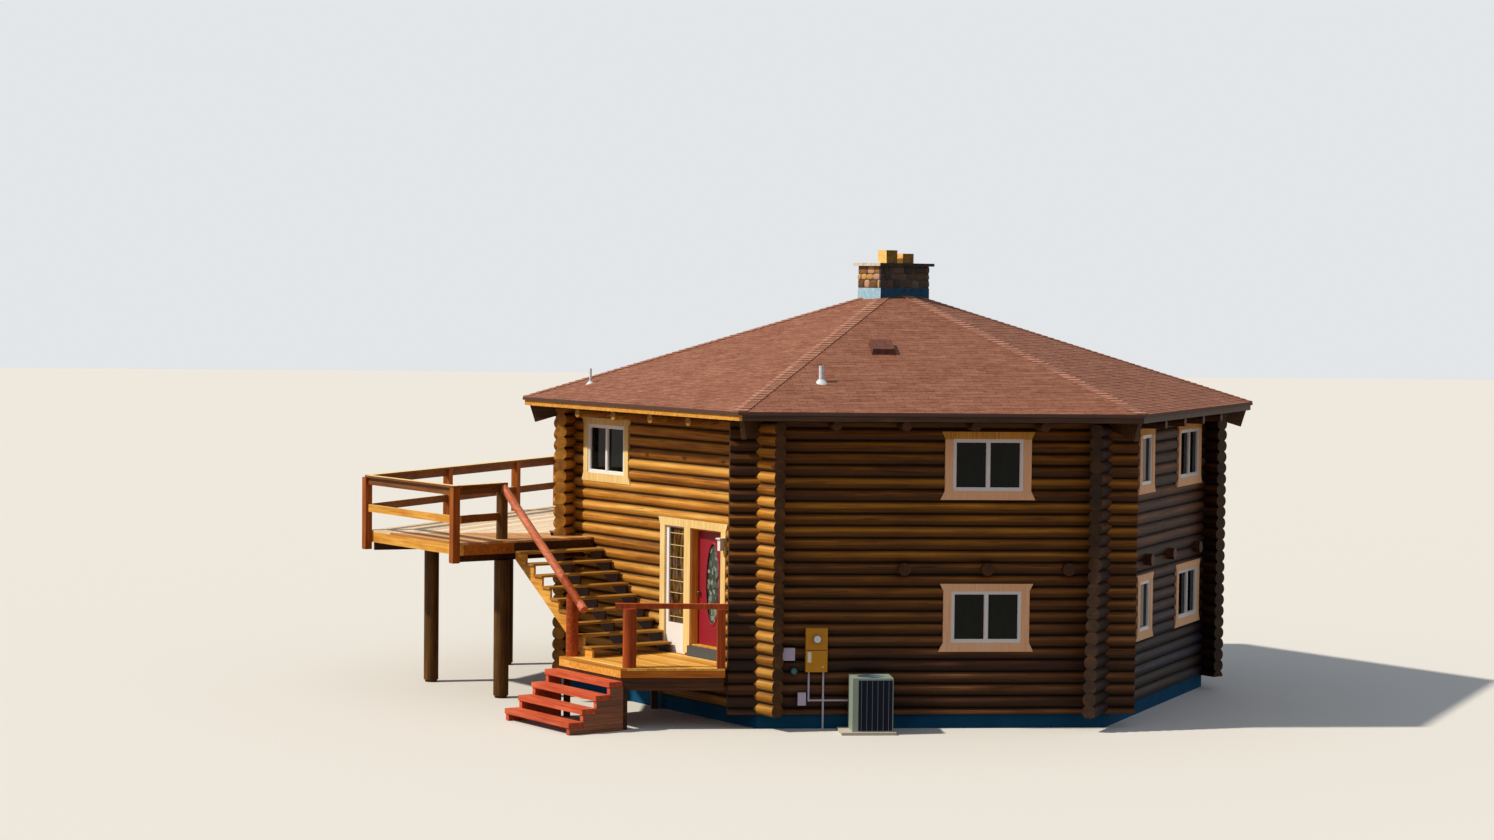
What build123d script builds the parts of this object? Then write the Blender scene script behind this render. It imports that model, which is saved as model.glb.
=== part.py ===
from build123d import *
import os
from math import atan2, cos, degrees, radians, sin, sqrt, tan

# Six-sided log house of two storeys, with a raised deck, an outside stair and a stone chimney.
# Millimetres. The origin is the middle of the foundation's underside, +Z is up, and the
# front wall faces -Y.

os.makedirs("parts", exist_ok=True)

# Fits
seat_gap = 0.3
bed_gap = 0.4

# Foundation and log walls
foundation_radius = 6096.0
foundation_height = 250.0
course_height = 210.5
courses = 24
log_radius = 120.0
wall_centre = 5220.0
stub_length = 480.0
long_stub_extra = 220.0
long_stub_courses = 12
corner_turn = 60.0

# Windows
wide_window = 1232.0
narrow_window = 616.0
window_height = 900.0
lower_sill = 1493.0
upper_sill = 4128.0
casing_face = 5305.0
casing_thickness = 40.0
casing_width = 140.0
head_casing_height = 125.0
head_casing_flare = 60.0
apron_height = 155.0
apron_flare = 75.0
vinyl_width = 48.0
vinyl_depth = 110.0
glass_thickness = 8.0

# Entry
entry_left = 240.0
entry_right = 2012.0
entry_head = 3330.0
entry_frame_depth = 150.0
mull_left = 857.0
mull_right = 1050.0
door_left = 1068.0
door_width = 912.0
door_bottom = 1271.0
door_height = 2022.0
door_thickness = 45.0
door_inner_face = 5130.0
latch_gap = 8.0
hinge_gap = 6.0
hinge_radius = 7.0
knuckle_height = 50.0
hinge_inset = 250.0

# Floors
floor_beam_radius = 108.0
floor_beam_reach = 130.0
upper_floor_thickness = 45.0
entry_floor_top = 1250.0
entry_floor_thickness = 40.0

# Roof
eave_apothem = 6070.0
roof_slope = 0.3476
roof_thickness = 48.0
apex_height = 7600.0
fascia_apothem = 6035.0
fascia_thickness = 35.0
fascia_bottom = 5345.0
soffit_thickness = 12.0
tail_radius = 80.0
tail_reach = 5930.0
tail_spacing = 1200.0
tails_per_wall = 4
tail_rise = 40.0
hip_thickness = 90.0
hip_end_rake = 130.0
hip_end_bottom = 5025.0
hip_heel_reach = 40.0

# Chimney, set square to the entry wall
chimney_turn = 30.0
chimney_length = 1170.0
chimney_width = 700.0
chimney_foot = 6900.0
chimney_base_top = 7614.0
chimney_stone_top = 8029.0
chimney_stone_proud = -8.0
chimney_cap_thickness = 56.0
chimney_cap_overhang = 68.0
flue_size = 260.0
flue_wall = 32.0
flue_places = (-150.0, 245.0)
flue_heights = (245.0, 185.0)

# Deck
deck_top = 2930.0
board_thickness = 38.0
joist_depth = 190.0
joist_thickness = 38.0
joist_spacing = 406.0
deck_near_edge = -2130.0
deck_side_reach = 8200.0
deck_back_reach = 8840.0
deck_far_edge = 3300.0
deck_beam_depth = 155.0
deck_beam_thickness = 90.0
deck_post_radius = 140.0
deck_post_foot = 45.0
corner_notch_reach = 6470.0
corner_notch_half = 600.0

# Deck rail
rail_post_size = 140.0
rail_post_drop = 365.0
rail_height = 1040.0
rail_cap_thickness = 38.0
rail_board_thickness = 38.0
rail_board_height = 140.0
mid_rail_bottom = 350.0
stair_post_radius = 105.0

# Stair from the deck to the landing
riser = 187.0
going = 283.0
stair_treads_count = 9
first_nosing = -2020.0 + 283.0
stair_width = 1700.0
tread_thickness = 38.0
stringer_thickness = 40.0
stringer_waist = 150.0
nosing_overhang = 25.0
handrail_radius = 75.0
newel_radius = 110.0

# Landing and the steps to the ground
landing_top = 1060.0
landing_side_reach = 7400.0
landing_front = -5420.0
landing_right = -3620.0
landing_rim_depth = 122.0
landing_beam_depth = 216.0
landing_beam_setback = 20.0
landing_leg_size = 120.0
step_rise = 212.0
step_going = 270.0
step_thickness = 90.0
steps_count = 4

# Walls by name, with the direction each one faces
wall_angles = {
    "front": -90.0,
    "front_right": -30.0,
    "back_right": 30.0,
    "back": 90.0,
    "back_left": 150.0,
    "front_left": 210.0,
}
half_course_walls = ("front", "back_right", "back_left")

# Places worked out from the sizes above
wall_top = foundation_height + courses * course_height
wall_outer = wall_centre + log_radius
wall_inner = wall_centre - log_radius
half_turn = radians(corner_turn / 2)
crossing_at = wall_centre * tan(half_turn)
stub_end = wall_outer * tan(half_turn) + stub_length
eave_radius = eave_apothem / cos(half_turn)
eave_top = apex_height - roof_slope * eave_apothem
eave_under = eave_top - roof_thickness
fascia_inner = fascia_apothem - fascia_thickness
hip_end_radius = (fascia_inner - seat_gap - hip_thickness / 2 * sin(half_turn)) / cos(half_turn)
floor_beam_height = foundation_height + 12 * course_height
upper_floor_bottom = floor_beam_height + floor_beam_radius + seat_gap
tail_height = wall_top - tail_rise
tail_top = tail_height + tail_radius
soffit_bottom = tail_top + seat_gap
house_face = wall_outer + seat_gap
tail_places = [(i - (tails_per_wall - 1) / 2) * tail_spacing for i in range(tails_per_wall)]
front_beam_places = (-539.0, 913.0, 2338.0)
right_beam_places = (-936.0, 471.0, 2196.0)
left_beam_places = (-1200.0, 500.0, 2200.0)
wall_windows = [
    ("front", 918.0, wide_window, lower_sill),
    ("front", 918.0, wide_window, upper_sill),
    ("front_left", -1741.0, wide_window, upper_sill),
    ("front_right", -950.0, narrow_window, lower_sill),
    ("front_right", -950.0, narrow_window, upper_sill),
    ("front_right", 1790.0, wide_window, lower_sill),
    ("front_right", 1790.0, wide_window, upper_sill),
    ("back_right", 918.0, wide_window, lower_sill),
    ("back_right", 918.0, wide_window, upper_sill),
    ("back", -950.0, narrow_window, lower_sill),
    ("back", -950.0, narrow_window, upper_sill),
    ("back", 1500.0, wide_window, lower_sill),
    ("back", 1500.0, wide_window, upper_sill),
    ("back_left", -1250.0, wide_window, lower_sill),
    ("back_left", -1250.0, wide_window, upper_sill),
]


# Placing
def wall_plane(side, out):
    """Upright plane of a wall: x to the right seen from outside, y up, z outwards."""
    angle = radians(wall_angles[side])
    outward = Vector(cos(angle), sin(angle), 0)
    right = Vector(-sin(angle), cos(angle), 0)
    return Plane(origin=outward * out, x_dir=right, z_dir=outward)


def along_plane(side, along):
    """Upright plane across a wall: x runs inwards, y up, z along the wall to the right."""
    angle = radians(wall_angles[side])
    outward = Vector(cos(angle), sin(angle), 0)
    right = Vector(-sin(angle), cos(angle), 0)
    return Plane(origin=right * along, x_dir=outward * -1, z_dir=right)


def out_plane(side, along, height):
    """Plane across a beam that runs out through a wall: x along the wall, y up, z outwards."""
    angle = radians(wall_angles[side])
    outward = Vector(cos(angle), sin(angle), 0)
    right = Vector(-sin(angle), cos(angle), 0)
    return Plane(origin=right * along + Vector(0, 0, height), x_dir=right, z_dir=outward)


def plan_point(side, along, out):
    """Ground-plan place of a point along a wall and out from the middle of the house."""
    angle = radians(wall_angles[side])
    return (out * cos(angle) - along * sin(angle), out * sin(angle) + along * cos(angle))


def neighbour(side, step):
    """Name of the wall one corner to the right, step 1, or to the left, step -1."""
    names = list(wall_angles)
    return names[(names.index(side) + step) % len(names)]


def wall_block(side, along, up, out, mode=Mode.ADD):
    """Square block on a wall, given by its ranges along, up and out from the centre."""
    with BuildSketch(wall_plane(side, out[0])) as face:
        with Locations(((along[0] + along[1]) / 2, (up[0] + up[1]) / 2)):
            Rectangle(along[1] - along[0], up[1] - up[0])
    extrude(face.sketch, amount=out[1] - out[0], mode=mode)


def flat_block(points, low, high, mode=Mode.ADD):
    """Level block with the given outline, between two heights."""
    with BuildSketch(Plane.XY.offset(low)) as face:
        Polygon(*points, align=None)
    extrude(face.sketch, amount=high - low, mode=mode)


def round_log(plane, radius, start, length, mode=Mode.ADD):
    """Round log square to a plane, from start and on for its length."""
    with BuildSketch(plane.offset(start)) as face:
        Circle(radius)
    extrude(face.sketch, amount=length, mode=mode)


def upright_log(place, radius, low, high, mode=Mode.ADD):
    """Round post between two heights."""
    round_log(Plane(origin=(place[0], place[1], 0)), radius, low, high - low, mode)


def inset_points(points, depths):
    """Corners of a counter-clockwise outline, each edge moved inwards by its own depth."""
    inner = []
    for i in range(len(points)):
        before = Vector(*points[i - 1])
        here = Vector(*points[i])
        after = Vector(*points[(i + 1) % len(points)])
        into = (here - before).normalized()
        onward = (after - here).normalized()
        turn = into.X * onward.Y - into.Y * onward.X
        corner = here + onward * (depths[i - 1] / turn) - into * (depths[i] / turn)
        inner.append((corner.X, corner.Y))
    return inner


def mitred_board(points, index, depth):
    """Outline of the board along one edge, mitred to the boards beside it."""
    following = (index + 1) % len(points)
    inner = inset_points(points, [depth] * len(points))
    board = [points[index], points[following], inner[following], inner[index]]
    return inset_points(board, [0.0, seat_gap / 2, 0.0, seat_gap / 2])


def hexagon(apothem):
    """Corners of the house's six-sided plan at a distance from the centre."""
    radius = apothem / cos(half_turn)
    return [(radius * cos(radians(60 * i)), radius * sin(radians(60 * i))) for i in range(6)]


def pyramid(apothem, low, eave, drop):
    """Six-sided block with the roof's slopes on top; drop lowers the slopes and the eave."""
    with BuildSketch(Plane.XY.offset(low)) as base:
        Polygon(*hexagon(apothem), align=None)
    with BuildSketch(Plane.XY.offset(eave - drop)) as shoulder:
        Polygon(*hexagon(apothem), align=None)
    body = extrude(base.sketch, amount=eave - drop - low, mode=Mode.PRIVATE)
    peak = Vertex(0, 0, eave - drop + roof_slope * apothem)
    cap = loft(sections=[shoulder.sketch.face(), peak], mode=Mode.PRIVATE)
    return body + cap


# Logs
def course_heights(side):
    """Centre heights of a wall's logs from the bottom up."""
    if side in half_course_walls:
        return [foundation_height + course_height * i for i in range(courses + 1)]
    return [foundation_height + course_height * (i + 0.5) for i in range(courses)]


def log_section(height, low, high, radius):
    """Round log cut flat between two heights, as a face across the wall."""
    with BuildSketch(mode=Mode.PRIVATE) as section:
        with Locations((-wall_centre, height)):
            Circle(radius)
        with Locations((-wall_centre, (low + high) / 2)):
            Rectangle(3 * radius, high - low, mode=Mode.INTERSECT)
    return section.sketch


def stub_reach(side, course):
    """How far a log runs to the left of the wall's middle."""
    if side == "front_right":
        return stub_end + long_stub_extra * max(0.0, 1 - course / long_stub_courses)
    return stub_end


def saddle_notches(side, step):
    """Hewn seats for the crossing wall's logs at one corner: flat-sided, over their upper halves."""
    crossing = neighbour(side, step)
    middle = -step * crossing_at
    reach = 3 * log_radius
    wide = log_radius + seat_gap
    rise = course_height / 2 - bed_gap / 2 + seat_gap
    shoulder = wide * tan(radians(22.5))
    narrow = wide + shoulder - rise
    seat = [(-wide, 0.0), (wide, 0.0), (wide, shoulder), (narrow, rise), (-narrow, rise), (-wide, shoulder)]
    with BuildSketch(along_plane(crossing, middle - reach)) as faces:
        for height in course_heights(crossing):
            if height < wall_top:
                Polygon(*[(x - wall_centre, y + height) for x, y in seat], align=None)
    return extrude(faces.sketch, amount=2 * reach, mode=Mode.PRIVATE)


def window_casing(width, grow):
    """The four boards of a window's surround, drawn about the middle of its sill."""
    half = width / 2
    outer = half + casing_width
    top = window_height
    head = [
        (-outer, top), (outer, top),
        (outer + head_casing_flare, top + head_casing_height),
        (-outer - head_casing_flare, top + head_casing_height),
    ]
    apron = [
        (-outer - apron_flare, -apron_height), (outer + apron_flare, -apron_height),
        (outer, 0.0), (-outer, 0.0),
    ]
    left = [(-outer, 0.0), (-half, 0.0), (-half, top), (-outer, top)]
    right = [(half, 0.0), (outer, 0.0), (outer, top), (half, top)]
    return [inset_points(board, [-grow] * 4) for board in (head, apron, left, right)]


def entry_casing_boards(grow):
    """Surround of the entry: two side boards and a flared head, in the wall's own places."""
    left = (entry_left - 145.0, entry_left)
    right = (entry_right - 16.0, entry_right + 123.0)
    top = entry_head
    head = [
        (left[0], top), (right[1], top),
        (right[1] + head_casing_flare, top + casing_width),
        (left[0] - head_casing_flare, top + casing_width),
    ]
    low = landing_top + seat_gap
    sides = [[(a, low), (b, low), (b, top), (a, top)] for a, b in (left, right)]
    return [inset_points(board, [-grow] * 4) for board in [head] + sides]


deck_door_left = 900.0
deck_door_width = 920.0
deck_door_height = 2050.0
deck_door_bottom = deck_top + 12.0


def deck_door_boards(grow):
    """Surround of the door on to the deck."""
    low = deck_door_bottom
    top = low + deck_door_height
    outer_left = deck_door_left - casing_width
    outer_right = deck_door_left + deck_door_width + casing_width
    inner_left = deck_door_left
    inner_right = deck_door_left + deck_door_width
    head = [(outer_left, top), (outer_right, top)]
    head += [(outer_right, top + head_casing_height), (outer_left, top + head_casing_height)]
    left = [(outer_left, low), (inner_left, low), (inner_left, top), (outer_left, top)]
    right = [(inner_right, low), (outer_right, low), (outer_right, top), (inner_right, top)]
    return [inset_points(board, [-grow] * 4) for board in (head, left, right)]


def board_seats(side, boards, origin):
    """Flat seats for a surround's boards in the faces of the logs."""
    with BuildSketch(wall_plane(side, casing_face)) as seats:
        for board in boards:
            with BuildLine():
                Polyline(*[(x + origin[0], y + origin[1]) for x, y in board], close=True)
            make_face()
    extrude(seats.sketch, amount=4 * casing_thickness)


def opening_blocks(side):
    """Window and door openings of one wall, and the seats of their surrounds."""
    through = (wall_inner - log_radius, wall_outer + log_radius)
    for place, centre, width, sill in wall_windows:
        if place == side:
            along = (centre - width / 2 - seat_gap, centre + width / 2 + seat_gap)
            up = (sill - seat_gap, sill + window_height + seat_gap)
            wall_block(side, along, up, through)
            board_seats(side, window_casing(width, 1.0), (centre, sill))
    if side == "front_left":
        along = (entry_left, entry_right)
        wall_block(side, along, (landing_top, entry_head), through)
        board_seats(side, entry_casing_boards(1.0), (0.0, 0.0))
    if side == "back_left":
        along = (deck_door_left, deck_door_left + deck_door_width)
        up = (deck_door_bottom, deck_door_bottom + deck_door_height)
        wall_block(side, along, up, through)
        board_seats(side, deck_door_boards(1.0), (0.0, 0.0))


def beam_holes(side):
    """Round holes for the roof tails, and for the floor beams that show outside."""
    for along in tail_places:
        plane = out_plane(side, along, tail_height)
        hole = tail_radius + seat_gap
        round_log(plane, hole, wall_inner - log_radius, 4 * log_radius)
    through = {"front": front_beam_places, "front_right": right_beam_places}
    through["back"] = [-along for along in front_beam_places]
    for along in through.get(side, ()):
        plane = out_plane(side, along, floor_beam_height)
        hole = floor_beam_radius + seat_gap
        round_log(plane, hole, wall_inner - log_radius, 4 * log_radius)


def log_wall(side):
    """One wall of stacked logs, notched over the logs of the walls beside it."""
    with BuildPart() as cutters:
        opening_blocks(side)
        beam_holes(side)
    heights = list(enumerate(course_heights(side)))
    with BuildPart() as wall:
        for left in sorted({stub_reach(side, course) for course, height in heights}):
            with BuildSketch(along_plane(side, -left)) as ends:
                for course, height in heights:
                    if stub_reach(side, course) == left:
                        low = max(height - course_height / 2, foundation_height) + bed_gap / 2
                        high = min(height + course_height / 2, wall_top) - bed_gap / 2
                        add(log_section(height, low, high, log_radius))
            extrude(ends.sketch, amount=left + stub_end)
        add([saddle_notches(side, 1), saddle_notches(side, -1), cutters.part], mode=Mode.SUBTRACT)
    return wall.part


for side in wall_angles:
    wall_logs = log_wall(side)
    wall_logs.label = "wall_" + side
    export_step(wall_logs, "parts/wall_" + side + ".step")

# Foundation: one painted concrete slab with its edge showing
with BuildPart() as foundation:
    flat_block(hexagon(foundation_radius * cos(half_turn)), 0.0, foundation_height)
foundation.part.label = "foundation"
export_step(foundation.part, "parts/foundation.step")

# Floor beams: three logs from the front wall to the back wall, three from the right, three left
first_beam = front_beam_places[0]
last_beam = front_beam_places[-1]
beam_clear = floor_beam_radius + seat_gap
with BuildPart() as floor_beams:
    for along in front_beam_places:
        plane = out_plane("front", along, floor_beam_height)
        reach = wall_outer + floor_beam_reach
        round_log(plane, floor_beam_radius, -reach, 2 * reach)
    for along in right_beam_places:
        plane = out_plane("front_right", along, floor_beam_height)
        start = (last_beam + beam_clear + along * sin(radians(-30))) / cos(radians(30))
        start += floor_beam_radius * tan(radians(30))
        round_log(plane, floor_beam_radius, start, wall_outer + floor_beam_reach - start)
    for along in left_beam_places:
        plane = out_plane("back_left", along, floor_beam_height)
        start = (-first_beam + beam_clear - along * sin(radians(150))) / cos(radians(30))
        start += floor_beam_radius * tan(radians(30))
        round_log(plane, floor_beam_radius, start, wall_inner - seat_gap - start)
floor_beams.part.label = "floor_beams"
export_step(floor_beams.part, "parts/floor_beams.step")

# Upper floor, left open over the entry
well_left = -300.0
well_depth = 3550.0
with BuildPart() as upper_floor:
    top = upper_floor_bottom + upper_floor_thickness
    flat_block(hexagon(wall_inner - seat_gap), upper_floor_bottom, top)
    along = (well_left, stub_end)
    wall_block("front_left", along, (upper_floor_bottom, top), (well_depth, wall_outer), Mode.SUBTRACT)

# Entry floor: a platform inside the door, on four legs
platform_along = (200.0, 2600.0)
platform_out = (3700.0, wall_inner - seat_gap)
leg_size = 90.0
with BuildPart() as entry_floor:
    low = entry_floor_top - entry_floor_thickness
    wall_block("front_left", platform_along, (low, entry_floor_top), platform_out)
    for along in (platform_along[0], platform_along[1] - leg_size):
        for out in (platform_out[0], platform_out[1] - leg_size):
            up = (foundation_height + seat_gap, low)
            wall_block("front_left", (along, along + leg_size), up, (out, out + leg_size))
inner_floors = Compound(
    label="inner_floors",
    children=upper_floor.part.solids() + entry_floor.part.solids(),
)
export_step(inner_floors, "parts/inner_floors.step")


# Roof
def chimney_outline(grow):
    """Corners of the chimney's plan, grown on every side."""
    turn = radians(chimney_turn)
    half_length = chimney_length / 2 + grow
    half_width = chimney_width / 2 + grow
    corners = []
    for x, y in ((-1, -1), (1, -1), (1, 1), (-1, 1)):
        a = x * half_length
        b = y * half_width
        corners.append((a * cos(turn) - b * sin(turn), a * sin(turn) + b * cos(turn)))
    return corners


with BuildPart() as roof:
    add(pyramid(eave_apothem, eave_under, eave_top, 0.0))
    add(pyramid(eave_apothem, eave_under - roof_thickness, eave_under, 0.0), mode=Mode.SUBTRACT)
    flat_block(chimney_outline(seat_gap), eave_under, apex_height + roof_thickness, Mode.SUBTRACT)
roof.part.label = "roof"
export_step(roof.part, "parts/roof.step")

# Fascia: six boards under the roof's edge
with BuildPart() as fascia:
    for i in range(6):
        board = mitred_board(hexagon(fascia_apothem), i, fascia_thickness)
        flat_block(board, fascia_bottom, eave_top)
    add(pyramid(eave_apothem, fascia_bottom - 1, eave_under, seat_gap), mode=Mode.INTERSECT)
fascia.part.label = "fascia"
export_step(fascia.part, "parts/fascia.step")

# Soffit: six boards from the logs to the fascia, open for the hip beams
soffit_apothem = fascia_inner - seat_gap
hip_slot = hip_thickness / 2 + seat_gap
with BuildPart() as soffit:
    for i in range(6):
        board = mitred_board(hexagon(soffit_apothem), i, soffit_apothem - house_face)
        flat_block(board, soffit_bottom, soffit_bottom + soffit_thickness)
    with Locations((0, 0, soffit_bottom)):
        with PolarLocations(wall_outer, 6):
            Box(2 * wall_outer, 2 * hip_slot, 4 * soffit_thickness, mode=Mode.SUBTRACT)
soffit.part.label = "soffit"
export_step(soffit.part, "parts/soffit.step")


# Hip beams: deep planks from the eave corners up to the chimney, seated on the corner logs
hip_slope = roof_slope * cos(half_turn)
hip_heel = wall_outer / cos(half_turn) + hip_heel_reach
hip_top_end = 330.0


def hip_plane(index):
    """Upright plane along a hip: x runs out from the centre and y up."""
    angle = radians(60 * index)
    outward = Vector(cos(angle), sin(angle), 0)
    return Plane(origin=(0, 0, 0), x_dir=outward, z_dir=Vector(sin(angle), -cos(angle), 0))


with BuildPart() as hip_beams:
    seat = wall_top + seat_gap
    bottom_radius = hip_end_radius - hip_end_rake
    seat_inner = bottom_radius - (seat - hip_end_bottom) / hip_slope
    inner_bottom = hip_end_bottom + hip_slope * (bottom_radius - hip_top_end)
    heel_bottom = hip_end_bottom + hip_slope * (bottom_radius - hip_heel)
    outline = [
        (hip_top_end, apex_height), (hip_top_end, inner_bottom),
        (seat_inner, seat), (hip_heel, seat), (hip_heel, heel_bottom),
        (bottom_radius, hip_end_bottom), (hip_end_radius, eave_under), (hip_end_radius, apex_height),
    ]
    for i in range(6):
        with BuildSketch(hip_plane(i).offset(-hip_thickness / 2)) as side_face:
            Polygon(*outline, align=None)
        extrude(side_face.sketch, amount=hip_thickness)
    add(pyramid(eave_apothem, hip_end_bottom - 1, eave_under, seat_gap), mode=Mode.INTERSECT)
    flat_block(chimney_outline(seat_gap), hip_end_bottom, apex_height, Mode.SUBTRACT)
hip_beams.part.label = "hip_beams"
export_step(hip_beams.part, "parts/hip_beams.step")

# Roof tails: short round logs that lie in the top course under the eaves
with BuildPart() as rafter_tails:
    for side in wall_angles:
        for along in tail_places:
            start = wall_inner - 2 * log_radius
            round_log(out_plane(side, along, tail_height), tail_radius, start, tail_reach - start)
rafter_tails.part.label = "rafter_tails"
export_step(rafter_tails.part, "parts/rafter_tails.step")

# Plates: flat boards on the wall tops between the roof tails
plate_half_length = 2880.0
plate_out = (wall_centre - 100.0, wall_centre + 100.0)
with BuildPart() as wall_plates:
    for side in wall_angles:
        up = (wall_top + seat_gap, tail_top - 2 * seat_gap)
        wall_block(side, (-plate_half_length, plate_half_length), up, plate_out)
        for along in tail_places:
            plane = out_plane(side, along, tail_height)
            start = wall_inner - 3 * log_radius
            round_log(plane, tail_radius + seat_gap, start, 6 * log_radius, Mode.SUBTRACT)
wall_plates.part.label = "wall_plates"
export_step(wall_plates.part, "parts/wall_plates.step")

# Chimney: painted base, rubble stone body, concrete cap and two clay flues
with BuildPart() as chimney_base:
    flat_block(chimney_outline(0.0), chimney_foot, chimney_base_top)
chimney_base.part.label = "chimney_base"
export_step(chimney_base.part, "parts/chimney_base.step")

with BuildPart() as chimney_stone:
    flat_block(chimney_outline(chimney_stone_proud), chimney_base_top, chimney_stone_top)
chimney_stone.part.label = "chimney_stone"
export_step(chimney_stone.part, "parts/chimney_stone.step")

cap_top = chimney_stone_top + chimney_cap_thickness
with BuildPart() as chimney_cap:
    flat_block(chimney_outline(chimney_cap_overhang), chimney_stone_top, cap_top)
chimney_cap.part.label = "chimney_cap"
export_step(chimney_cap.part, "parts/chimney_cap.step")

with BuildPart() as chimney_flues:
    for along, rise in zip(flue_places, flue_heights):
        turn = radians(chimney_turn)
        place = Plane(
            origin=(along * cos(turn), along * sin(turn), cap_top),
            x_dir=Vector(cos(turn), sin(turn), 0), z_dir=Vector(0, 0, 1),
        )
        with BuildSketch(place) as ring:
            Rectangle(flue_size, flue_size)
            Rectangle(flue_size - 2 * flue_wall, flue_size - 2 * flue_wall, mode=Mode.SUBTRACT)
        extrude(ring.sketch, amount=rise)
chimney_flues.part.label = "chimney_flues"
export_step(chimney_flues.part, "parts/chimney_flues.step")


# Roof vents: two capped pipes in their flashings, and a low box vent
def roof_height(side, out):
    """Height of the roof's upper face at a distance out from the centre."""
    return apex_height - roof_slope * out


pipe_vents = [
    ("front", -1930.0, 4710.0, 45.0, 290.0, 140.0),
    ("front_left", -2430.0, 5248.0, 23.0, 280.0, 110.0),
]
with BuildPart() as roof_vents:
    for side, along, out, radius, rise, skirt in pipe_vents:
        base = roof_height(side, out)
        place = plan_point(side, along, out)
        upright_log(place, radius, base - skirt, base + rise)
        with Locations((place[0], place[1], base - skirt * roof_slope)):
            Cone(skirt, radius * 1.2, skirt * 0.75, align=(Align.CENTER, Align.CENTER, Align.MIN))
    slope_angle = degrees(atan2(roof_slope, 1.0))
    box_plane = Plane(
        origin=(-655.0, -3165.0, roof_height("front", 3165.0) + seat_gap),
        x_dir=Vector(1, 0, 0),
        z_dir=Vector(0, -sin(radians(slope_angle)), cos(radians(slope_angle))),
    )
    with BuildSketch(box_plane) as box_base:
        Rectangle(440.0, 530.0)
    extrude(box_base.sketch, amount=115.0, taper=12)
    add(pyramid(eave_apothem, eave_under, eave_top, -seat_gap), mode=Mode.SUBTRACT)
roof_vents.part.label = "roof_vents"
export_step(roof_vents.part, "parts/roof_vents.step")

# Windows: vinyl frames with a middle bar, panes, and sawn surrounds
vinyl_back = casing_face + casing_thickness - 15.0 - vinyl_depth
vinyl_front = vinyl_back + vinyl_depth
glass_back = vinyl_back + vinyl_depth / 2 - glass_thickness / 2


def window_panes(centre, width):
    """Ranges along the wall of a window's panes: two in a wide one, one in a narrow one."""
    left = centre - width / 2 + vinyl_width
    right = centre + width / 2 - vinyl_width
    if width == wide_window:
        half_bar = vinyl_width / 2
        return [(left, centre - half_bar), (centre + half_bar, right)]
    return [(left, right)]


with BuildPart() as window_frames:
    for side, centre, width, sill in wall_windows:
        along = (centre - width / 2, centre + width / 2)
        wall_block(side, along, (sill, sill + window_height), (vinyl_back, vinyl_front))
        for pane in window_panes(centre, width):
            up = (sill + vinyl_width, sill + window_height - vinyl_width)
            wall_block(side, pane, up, (vinyl_back - 1, vinyl_front + 1), Mode.SUBTRACT)
window_frames.part.label = "window_frames"
export_step(window_frames.part, "parts/window_frames.step")

sidelight_glass = (329.0, 806.0)
sidelight_bottom = 1590.0
sidelight_top = 3300.0
sidelight_glass_back = casing_face - 43.0
with BuildPart() as window_glass:
    for side, centre, width, sill in wall_windows:
        for left, right in window_panes(centre, width):
            along = (left + seat_gap, right - seat_gap)
            low = sill + vinyl_width + seat_gap
            high = sill + window_height - vinyl_width - seat_gap
            wall_block(side, along, (low, high), (glass_back, glass_back + glass_thickness))
    along = (sidelight_glass[0] + seat_gap, sidelight_glass[1] - seat_gap)
    up = (sidelight_bottom + seat_gap, sidelight_top - seat_gap)
    wall_block("front_left", along, up, (sidelight_glass_back, sidelight_glass_back + glass_thickness))
window_glass.part.label = "window_glass"
export_step(window_glass.part, "parts/window_glass.step")

with BuildPart() as window_casings:
    for side, centre, width, sill in wall_windows:
        for board in window_casing(width, -seat_gap / 2):
            with BuildSketch(wall_plane(side, casing_face + seat_gap)) as face:
                Polygon(*[(x + centre, y + sill) for x, y in board], align=None)
            extrude(face.sketch, amount=casing_thickness)
window_casings.part.label = "window_casings"
export_step(window_casings.part, "parts/window_casings.step")

# Entry: surround, frame with its sidelight, door, glass, knob, threshold and step
with BuildPart() as entry_casing:
    for board in entry_casing_boards(-seat_gap / 2):
        with BuildSketch(wall_plane("front_left", casing_face + seat_gap)) as face:
            Polygon(*board, align=None)
        extrude(face.sketch, amount=casing_thickness)
    low = landing_top + 40.0
    wall_block("front_left", (mull_left, mull_right), (low, entry_head - seat_gap),
               (casing_face + seat_gap, casing_face + casing_thickness))
entry_casing.part.label = "entry_casing"
export_step(entry_casing.part, "parts/entry_casing.step")

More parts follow.
